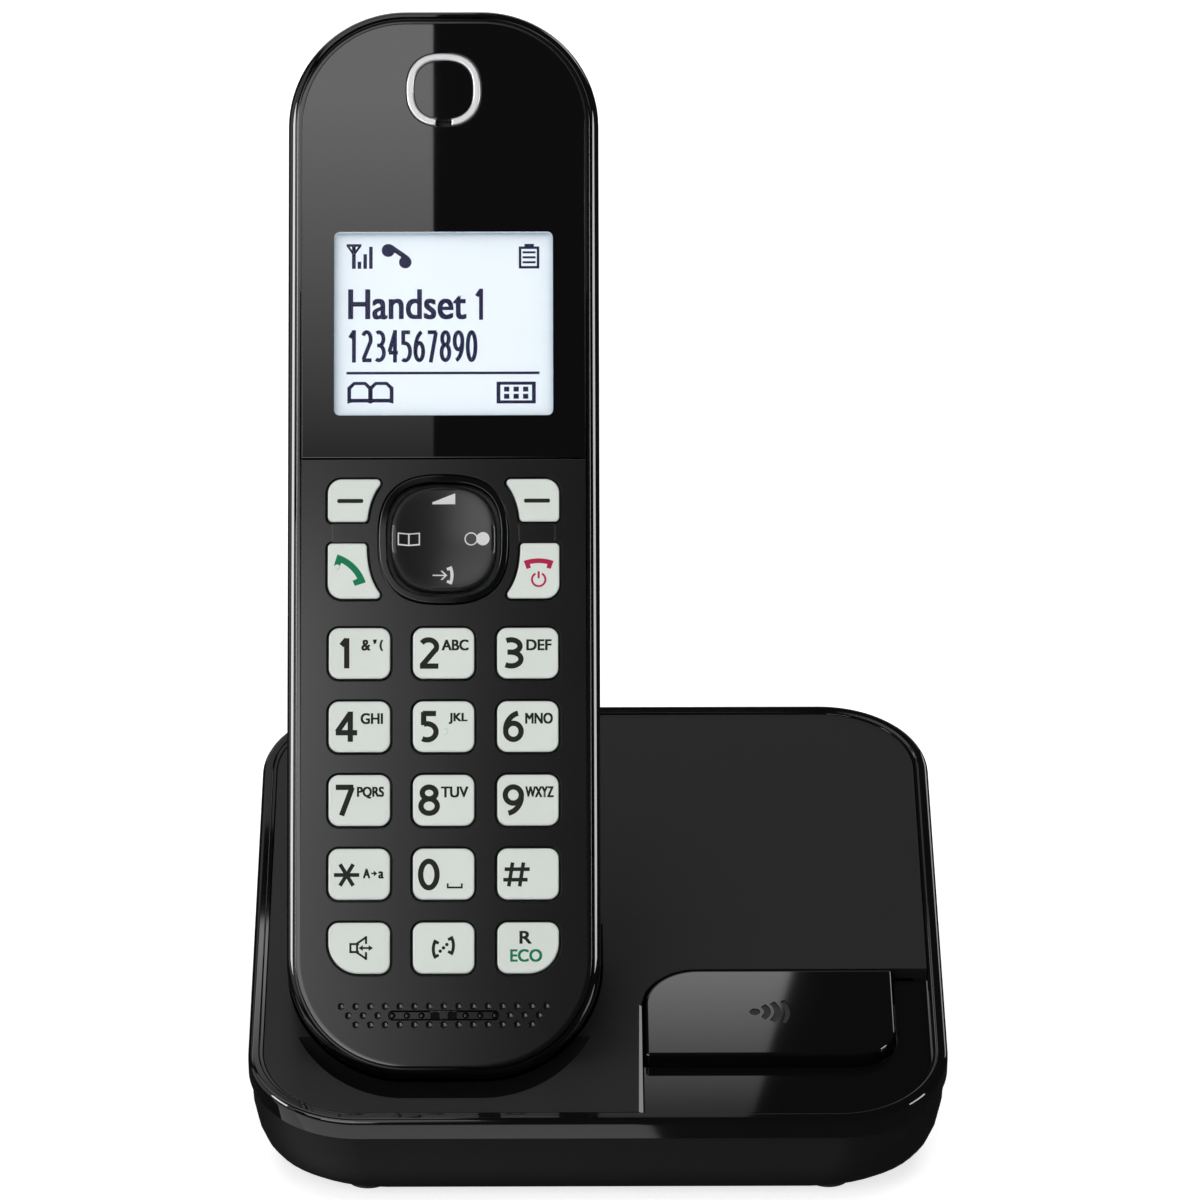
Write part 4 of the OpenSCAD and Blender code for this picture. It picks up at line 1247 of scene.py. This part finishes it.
class TELEPHONE_OT_navigation(bpy.types.Operator):
    """Builds the navigation ring and the dished pad with its signs"""

    bl_idname = "telephone.navigation"
    bl_label = "Navigation pad"

    def execute(self, context):
        low, high = local_box(HANDSET, "nav_pad")
        centre = middle_of(low, high)
        ring_low, ring_high = local_box(HANDSET, "nav_ring")
        radius = (ring_high.x - ring_low.x) / 2 - 0.85 * MM
        top = ring_high.z / MM
        profile = [
            (0, -2.3), (0, top - 0.2), (0.05, top - 0.07), (0.16, top), (0.92, top), (1.02, top - 0.05),
            (1.1, top - 0.2), (1.2, top - 1.0), (1.25, -2.9), (-0.8, -2.9), (-0.8, -2.3),
        ]
        bm = bmesh.new()
        add_ring(bm, swollen_square(radius, RING_POWER, centre), in_mm(profile))
        finish_piece("navigation_ring", bm, HANDSET, ["gloss"], "nav_ring")

        pad_radius = (high.x - low.x) / 2
        dish_radius = 60 * MM

        def dish(x, y):
            """Height of the pad's dished face."""
            return 0.5 * MM + ((x - centre[0]) ** 2 + (y - centre[1]) ** 2) / (2 * dish_radius)

        bm = bmesh.new()
        rings = []
        for share, height in ((1.0, low.z), (1.0, 0.1 * MM), (0.994, 0.42 * MM), (0.975, 0.7 * MM)):
            loop = swollen_square(pad_radius * share, RING_POWER, centre)
            rings.append([bm.verts.new((x, y, height)) for x, y in loop])
        for share in (0.94, 0.89, 0.8, 0.65, 0.45, 0.25, 0.1, 0.02):
            loop = swollen_square(pad_radius * share, RING_POWER, centre)
            drop = 0.06 * MM if share == 0.94 else 0
            rings.append([bm.verts.new((x, y, dish(x, y) - drop)) for x, y in loop])
        for lower, upper in zip(rings, rings[1:]):
            bridge(bm, lower, upper)
        bm.faces.new(rings[0])
        bm.faces.new(rings[-1])
        bmesh.ops.recalc_face_normals(bm, faces=bm.faces)
        bm.faces.ensure_lookup_table()
        first = len(bm.verts)
        self.signs(bm, centre)
        bm.verts.ensure_lookup_table()
        for vertex in bm.verts[first:]:
            vertex.co.z += dish(vertex.co.x, vertex.co.y)
        finish_piece("navigation_pad", bm, HANDSET, ["pad", "ink_pale"], "nav_pad")
        return {"FINISHED"}

    def signs(self, bm, centre):
        """Volume wedge, open book, two circles and an arrow to a receiver."""
        shapes = [[(-1.75, 5.5), (1.85, 5.5), (1.85, 7.15), (1.7, 7.15), (-1.75, 5.8)]]
        for side in (-1, 1):
            page = [(0, -1.15), (1.75, -1.0), (1.75, 1.0), (0, 0.85)][::side]
            inner = [(0.12, -0.92), (1.55, -0.78), (1.55, 0.8), (0.12, 0.68)][::-side]
            shapes.append([[(side * x - 5.45, y) for x, y in loop] for loop in (page, inner)])
        shapes.append([disc(1.05, (4.35, 0.0), 32), cut_from(disc(0.86, (4.35, 0.0), 32))])
        shapes.append(disc(1.05, (6.2, 0.0), 32))
        shapes.append(bar((-1.7, -5.8), (0.3, -5.8), 0.2))
        shapes.append([(-0.45, -6.5), (-0.2, -6.55), (0.6, -5.8), (-0.2, -5.05), (-0.45, -5.1), (0.27, -5.8)])
        shapes.append(receiver_sign((1.1, -5.8), 3.0, -90, bow=0.4))
        for i, shape in enumerate(shapes):
            loops = shape if isinstance(shape[0], list) else [shape]
            add_sign(bm, [millimetres(loops, centre)], -0.02 * MM, 0.045 * MM + i * FILM_STEP, 1)


class TELEPHONE_OT_base_top(bpy.types.Operator):
    """Builds the base's sloping top with its bed, and the glossy rim round it"""

    bl_idname = "telephone.base_top"
    bl_label = "Base top and rim"

    def execute(self, context):
        look = context.scene.telephone_looks
        low, high = local_box(TOP, "base_rim")
        width, length = high.x - low.x, high.y - low.y
        foot, top = low.z / MM, high.z / MM
        profile = [
            (0.75, foot), (0.12, foot), (0, foot + 0.12), (0, top - 0.95), (0.05, top - 0.6),
            (0.22, top - 0.27), (0.5, top - 0.07), (0.85, top), (1.55, top), (1.68, top - 0.04),
            (1.9, top - 0.22), (2.25, top - 0.22), (2.3, top - 0.3), (2.3, foot + 1.2), (0.75, foot + 1.2),
        ]
        bm = bmesh.new()
        middle = ((low.x + high.x) / 2, length / 2)
        outline = rounded(width, length, BASE_CORNER, middle, look.curve_steps)
        add_ring(bm, outline, in_mm(profile))
        finish_piece("rim_band", bm, TOP, ["gloss"], "base_rim")

        back = TOP.inverted()
        edge = local_box(TOP, "locator_panel")[0].x - LEDGE_REVEAL

        def on_ledge_edge(point):
            """Whether a point lies on the top edge beside the ledge."""
            spot = back @ point
            return abs(spot.x - edge) < NEAR and abs(spot.z) < LEVEL and spot.y < 40 * MM

        piece = merged_copy(
            "top_plate", "base_top_case", "base_satin", 0.18 * MM, chamfer=LEDGE_CHAMFER, chosen=on_ledge_edge
        )
        piece.data.materials.append(material_for("bed"))
        piece.data.materials.append(material_for("gloss"))
        bed = HANDSET.inverted()
        low, high = local_box(HANDSET, "handset_rear_case")
        # Faces sunk beside the handset get the dull black: painted shade in the bed.
        for face in piece.data.polygons:
            deep = (back @ face.center).z < -0.05 * MM
            inside = bed @ face.center
            beside = abs(inside.x) < high.x + 0.8 * MM and inside.y > -MM
            if deep and beside and inside.z > low.z - MM:
                face.material_index = 1
        self.flatten_chamfer(piece.data, edge)
        return {"FINISHED"}

    def flatten_chamfer(self, mesh, edge):
        """Leans the chamfer beside the ledge back, narrows it to the rear and makes it glossy."""
        back = TOP.inverted()
        spots = [(vertex, back @ vertex.co) for vertex in mesh.vertices]
        spots = [(vertex, spot) for vertex, spot in spots if abs(spot.x - edge) < NEAR]
        feet = [(vertex, spot) for vertex, spot in spots if abs(spot.z + LEDGE_CHAMFER) < LEVEL]
        rear = max(spot.y for vertex, spot in feet)
        drop = 0.6 * LEDGE_CHAMFER
        for vertex, spot in feet:
            vertex.co = TOP @ Vector((spot.x, spot.y, -drop if spot.y < rear - MM else -drop / 2))
        for vertex, spot in spots:
            if abs(spot.z) < LEVEL and abs(spot.y - rear) < NEAR:
                vertex.co = TOP @ Vector((spot.x - LEDGE_CHAMFER / 2, spot.y, spot.z))
        for face in mesh.polygons:
            spot = back @ face.center
            if abs(spot.x - edge + 0.3 * MM) < 0.25 * MM and -0.4 * MM < spot.z < -0.05 * MM:
                face.material_index = 2


class TELEPHONE_OT_locator(bpy.types.Operator):
    """Builds the glossy ledge and the locator button with its sunk sign"""

    bl_idname = "telephone.locator"
    bl_label = "Locator"

    def execute(self, context):
        low, high = local_box(TOP, "locator_panel")
        bm = bmesh.new()
        add_plate(bm, face_loops("locator_panel", TOP, high.z), rounded_edge(low.z, high.z, 0.12 * MM))
        finish_piece("locator_ledge", bm, TOP, ["gloss"], "locator_panel")

        low, high = local_box(TOP, "locator_button")
        outline = face_loops("locator_button", TOP, high.z)[0]
        edge = min(p[1] for p in outline)
        side = min(p[0] for p in outline)
        spot = (side + 17.25 * MM, edge + 10.5 * MM)
        signs = [disc(0.78 * MM, spot, 28)]
        for radius, half, thick in ((2.0, 50, 0.95), (3.55, 40, 0.88), (5.15, 31, 0.74)):
            signs.append(band(spot, (radius - thick / 2) * MM, (radius + thick / 2) * MM, -half, half, 14))
        bm = bmesh.new()
        weights = [1] + [0.12] * len(signs)
        cap_profile = rounded_edge(high.z - 2.9 * MM, high.z, 0.5 * MM, steps=5)
        add_plate(bm, [outline] + [cut_from(sign) for sign in signs], cap_profile, weights)
        first = len(bm.faces)
        add_plate(bm, [offset(outline, 0.6 * MM)], [(0, high.z - 0.8 * MM), (0, high.z - 0.2 * MM)])
        paint_from(bm, first, 1)
        flange = [(-0.8, -4.5), (-0.8, -3.7), (0, -3.6), (0, -2.9)]
        add_plate(bm, [outline], [(inset * MM, high.z + height * MM) for inset, height in flange])
        middle = ((side + max(p[0] for p in outline)) / 2, (edge + max(p[1] for p in outline)) / 2)
        stem = [(0.2 * MM, low.z + 0.4 * MM), (0, low.z + 0.6 * MM), (0, high.z - 4.4 * MM)]
        add_plate(bm, [disc(2 * MM, middle)], stem)
        finish_piece("locator_key", bm, TOP, ["gloss", "mark_grey"], "locator_button")
        return {"FINISHED"}


class TELEPHONE_OT_base_shell(bpy.types.Operator):
    """Builds the base's lower shell, its screws and its rubber feet"""

    bl_idname = "telephone.base_shell"
    bl_label = "Lower shell"

    def execute(self, context):
        merged_copy("lower_shell", "base_bottom_case", "shell_satin", crease=35)
        under = Matrix.Rotation(math.pi, 4, "X")
        boxes = islands("base_feet")
        low, high = boxes[0]
        radius, depth = (high.x - low.x) / 2, high.z - low.z
        bm = bmesh.new()
        add_plate(bm, [disc(radius, steps=40)], rounded_edge(-depth, 0, 0.35 * MM))
        add_ring(bm, disc(radius * 0.7, steps=40), in_mm([(0, -0.1), (0.05, 0), (0.5, 0), (0.55, -0.1)]))
        spots = [((a.x + b.x) / 2, -(a.y + b.y) / 2, -a.z - 0.01 * MM) for a, b in boxes]
        repeated("rubber_feet", template_from(bm), spots, under, "rubber", "base_feet")
        boxes = islands("base_screws")
        low, high = boxes[0]
        head = screw_template((high.x - low.x) / 2, 1.5 * MM, 1.0 * MM, high.z - low.z - 0.05 * MM)
        spots = [((a.x + b.x) / 2, -(a.y + b.y) / 2, -a.z) for a, b in boxes]
        repeated("bottom_screws", head, spots, under, "steel", "base_screws")
        return {"FINISHED"}


INNER_LOOKS = {
    "lcd_frame": "light_guide",
    "board": "board",
    "silicone": "silicone",
    "part_dark": "dark_part",
    "metal": "steel",
    "cell": "cell",
    "contact": "gold",
    "foot": "rubber",
    "case_black": "shell_satin",
    "case_gloss": "gloss",
    "lens_black": "lens",
    "key_white": "key",
    "pad_dark": "pad",
    "ring_silver": "silver",
    "lcd": "light_guide",
}


class TELEPHONE_OT_inner_parts(bpy.types.Operator):
    """Gives the parts inside the telephone their materials"""

    bl_idname = "telephone.inner_parts"
    bl_label = "Inner parts"

    def execute(self, context):
        for name, node in NODES.items():
            if not node.hide_render:
                node.data.materials.clear()
                node.data.materials.append(material_for(INNER_LOOKS[SLOT_OF[name]]))
        return {"FINISHED"}


def faded(tree, fades, strength):
    """A strength that fades along some axes. Each fade is (axis, from, to, share at from, share at to)."""
    place = tree.nodes.new("ShaderNodeTexCoord")
    split = tree.nodes.new("ShaderNodeSeparateXYZ")
    total = add_node(tree, "ShaderNodeValue")
    total.outputs[0].default_value = strength
    wire(tree, (place, "Object", split, "Vector"))
    for axis, start, end, start_share, end_share in fades:
        limits = {"From_Min": start, "From_Max": end, "To_Min": start_share, "To_Max": end_share}
        fade = add_node(tree, "ShaderNodeMapRange", **limits)
        product = sum_node(tree, "MULTIPLY")
        wire(tree, (split, axis, fade, "Value"), (fade, "Result", product, 0), (total, "Value", product, 1))
        total = product
    return total


def light_card(name, corners, strength, fades=(), reflected=True):
    """A glowing card that the camera doesn't see: either reflected in the object or lighting it softly."""
    mesh = bpy.data.meshes.new(name)
    mesh.from_pydata(corners, [], [tuple(range(len(corners)))])
    material = bpy.data.materials.new(name)
    material.use_nodes = True
    tree = material.node_tree
    tree.nodes.clear()
    glow = add_node(tree, "ShaderNodeEmission", Color=(1, 1, 1, 1), Strength=strength)
    out = tree.nodes.new("ShaderNodeOutputMaterial")
    wire(tree, (glow, "Emission", out, "Surface"))
    if fades:
        wire(tree, (faded(tree, fades, strength), "Value", glow, "Strength"))
    mesh.materials.append(material)
    card = link(name, mesh)
    card.visible_camera = False
    card.visible_shadow = False
    card.visible_diffuse = not reflected
    card.visible_glossy = reflected


# Cards that the object reflects: name, left and right end, (y, z) of the lower and the upper edge, strength,
# fades.
CARDS = (
    ("lens_card", -1.5, -0.043, (-0.8, 0.7), (-0.62, 1.0), 2.9, [("Z", 0.70, 0.80, 0.07, 1.0)]),
    (
        "face_card", -1.0, 0.0, (-0.95, 0.3), (-0.81, 0.695), 4.5,
        [("X", -0.133, -0.033, 1.0, 0.0), ("Z", 0.6, 0.64, 0.74, 1.0)],
    ),
    ("under_card", -2.5, 0.029, (-1.4, -0.8), (-0.3, -0.8), 1.2, ()),
    ("under_left_card", -3.0, -0.3, (-0.3, -0.8), (0.15, -0.8), 0.9, ()),
    ("glint_card", -0.9, -0.1, (-1.3, 0.12), (-1.3, 0.5), 5, ()),
    ("high_card", -1.2, -0.05, (0.0, 1.5), (0.8, 1.5), 1.2, ()),
    ("top_card", -0.9, -0.02, (0.62, 0.83), (1.3, 0.83), 0.45, ()),
    ("corner_card", 0.85, 1.9, (1.6, 0.7), (1.6, 1.5), 3, ()),
    ("rear_card", -1.0, 0.8, (1.6, 0.35), (1.6, 0.95), 0.8, ()),
)

# Upright cards at the sides: name, x, (y, z) of the lower front and the upper rear corner, strength.
SIDE_CARDS = (
    ("left_card", -1.2, (-0.7, -0.1), (0.7, 1.2), 0.7),
    ("left_strip", -1.19, (-0.5, 0.2), (-0.1, 0.8), 16),
    ("right_strip", 1.2, (-0.5, 0.2), (-0.1, 0.7), 11),
)


CAMERA_AT = (-0.00608, -1.06408, 0.4886)
CAMERA_TURN = (69.0, 0.0, -0.357)  # degrees


def card_corners(left, right, lower, upper):
    """Corners of a card between a lower and an upper edge."""
    return [(left, *lower), (right, *lower), (right, *upper), (left, *upper)]


class TELEPHONE_OT_stage(bpy.types.Operator):
    """Sets up the floor, the lights and the camera"""

    bl_idname = "telephone.stage"
    bl_label = "Stage"

    def execute(self, context):
        stage = context.scene.telephone_stage
        half = stage.floor_size / 2
        mesh = bpy.data.meshes.new("floor")
        mesh.from_pydata(card_corners(-half, half, (-half, 0), (half, 0)), [], [(0, 1, 2, 3)])
        floor = link("floor", mesh)
        material, tree, shader = new_material("floor")
        set_inputs(
            shader,
            Base_Color=(0.85, 0.85, 0.85, 1),
            Roughness=1.0,
            Specular_IOR_Level=0.0,
            Emission_Color=(1, 1, 1, 1),
            Emission_Strength=stage.floor_light,
        )
        mesh.materials.append(material)
        floor.visible_glossy = False

        soft = stage.soft_light
        light_card("soft_front", card_corners(-1.6, 0.6, (-1.7, 0.7), (-1.3, 2.0)), soft, reflected=False)
        light_card("soft_top", card_corners(-1.2, 1.2, (-0.9, 2.0), (1.3, 2.0)), soft, reflected=False)

        shine = stage.card_light
        for name, left, right, lower, upper, strength, fades in CARDS:
            light_card(name, card_corners(left, right, lower, upper), shine * strength, fades)
        for name, x, (front, low), (rear, high), strength in SIDE_CARDS:
            corners = [(x, front, low), (x, rear, low), (x, rear, high), (x, front, high)]
            light_card(name, corners, shine * strength)
        corners = [(-0.6, 0.5, 0.83), (0.046, 0.5, 0.83), (0.068, 0.585, 0.83), (-0.6, 0.585, 0.83)]
        light_card("button_card", corners, shine * 2.9, [("Y", 0.52, 0.575, 0.13, 1.0)])

        world = bpy.data.worlds.new("surroundings")
        context.scene.world = world
        world.use_nodes = True
        tree = world.node_tree
        tree.nodes.clear()
        path = tree.nodes.new("ShaderNodeLightPath")
        dim = add_node(tree, "ShaderNodeBackground", Color=(1, 1, 1, 1), Strength=stage.fill)
        bright = add_node(tree, "ShaderNodeBackground", Color=(1, 1, 1, 1), Strength=1.0)
        mixed = tree.nodes.new("ShaderNodeMixShader")
        out = tree.nodes.new("ShaderNodeOutputWorld")
        wire(tree, (path, "Is Camera Ray", mixed, 0), (dim, "Background", mixed, 1))
        wire(tree, (bright, "Background", mixed, 2), (mixed, "Shader", out, "Surface"))

        data = bpy.data.cameras.new("camera")
        data.sensor_width = 36.0
        data.lens = stage.lens
        data.clip_start = 0.05
        data.clip_end = 50.0
        camera = link("camera", data)
        camera.location = CAMERA_AT
        camera.rotation_euler = [math.radians(angle) for angle in CAMERA_TURN]
        context.scene.camera = camera
        context.scene.view_settings.view_transform = "Standard"
        return {"FINISHED"}


class TELEPHONE_PT_panel(bpy.types.Panel):
    """Sizes, colours and the building steps of the telephone"""

    bl_idname = "TELEPHONE_PT_panel"
    bl_label = "Telephone"
    bl_space_type = "VIEW_3D"
    bl_region_type = "UI"
    bl_category = "Telephone"

    def draw(self, context):
        for group in (context.scene.telephone_looks, context.scene.telephone_stage):
            box = self.layout.box()
            for name in type(group).__annotations__:
                box.prop(group, name)
        for operator in OPERATORS:
            self.layout.operator(operator.bl_idname)


OPERATORS = (
    TELEPHONE_OT_handset_front,
    TELEPHONE_OT_handset_back,
    TELEPHONE_OT_screen,
    TELEPHONE_OT_keys,
    TELEPHONE_OT_navigation,
    TELEPHONE_OT_base_top,
    TELEPHONE_OT_locator,
    TELEPHONE_OT_base_shell,
    TELEPHONE_OT_inner_parts,
    TELEPHONE_OT_stage,
)
CLASSES = (TelephoneLooks, TelephoneStage, *OPERATORS, TELEPHONE_PT_panel)


def register():
    """Adds the classes and the two groups of settings."""
    for each in CLASSES:
        bpy.utils.register_class(each)
    bpy.types.Scene.telephone_looks = PointerProperty(type=TelephoneLooks)
    bpy.types.Scene.telephone_stage = PointerProperty(type=TelephoneStage)


def unregister():
    """Removes the settings and the classes."""
    del bpy.types.Scene.telephone_stage
    del bpy.types.Scene.telephone_looks
    for each in reversed(CLASSES):
        bpy.utils.unregister_class(each)


def main():
    """Builds the whole telephone."""
    register()
    for operator in OPERATORS:
        group, name = operator.bl_idname.split(".")
        getattr(getattr(bpy.ops, group), name)()


if __name__ == "__main__":
    main()
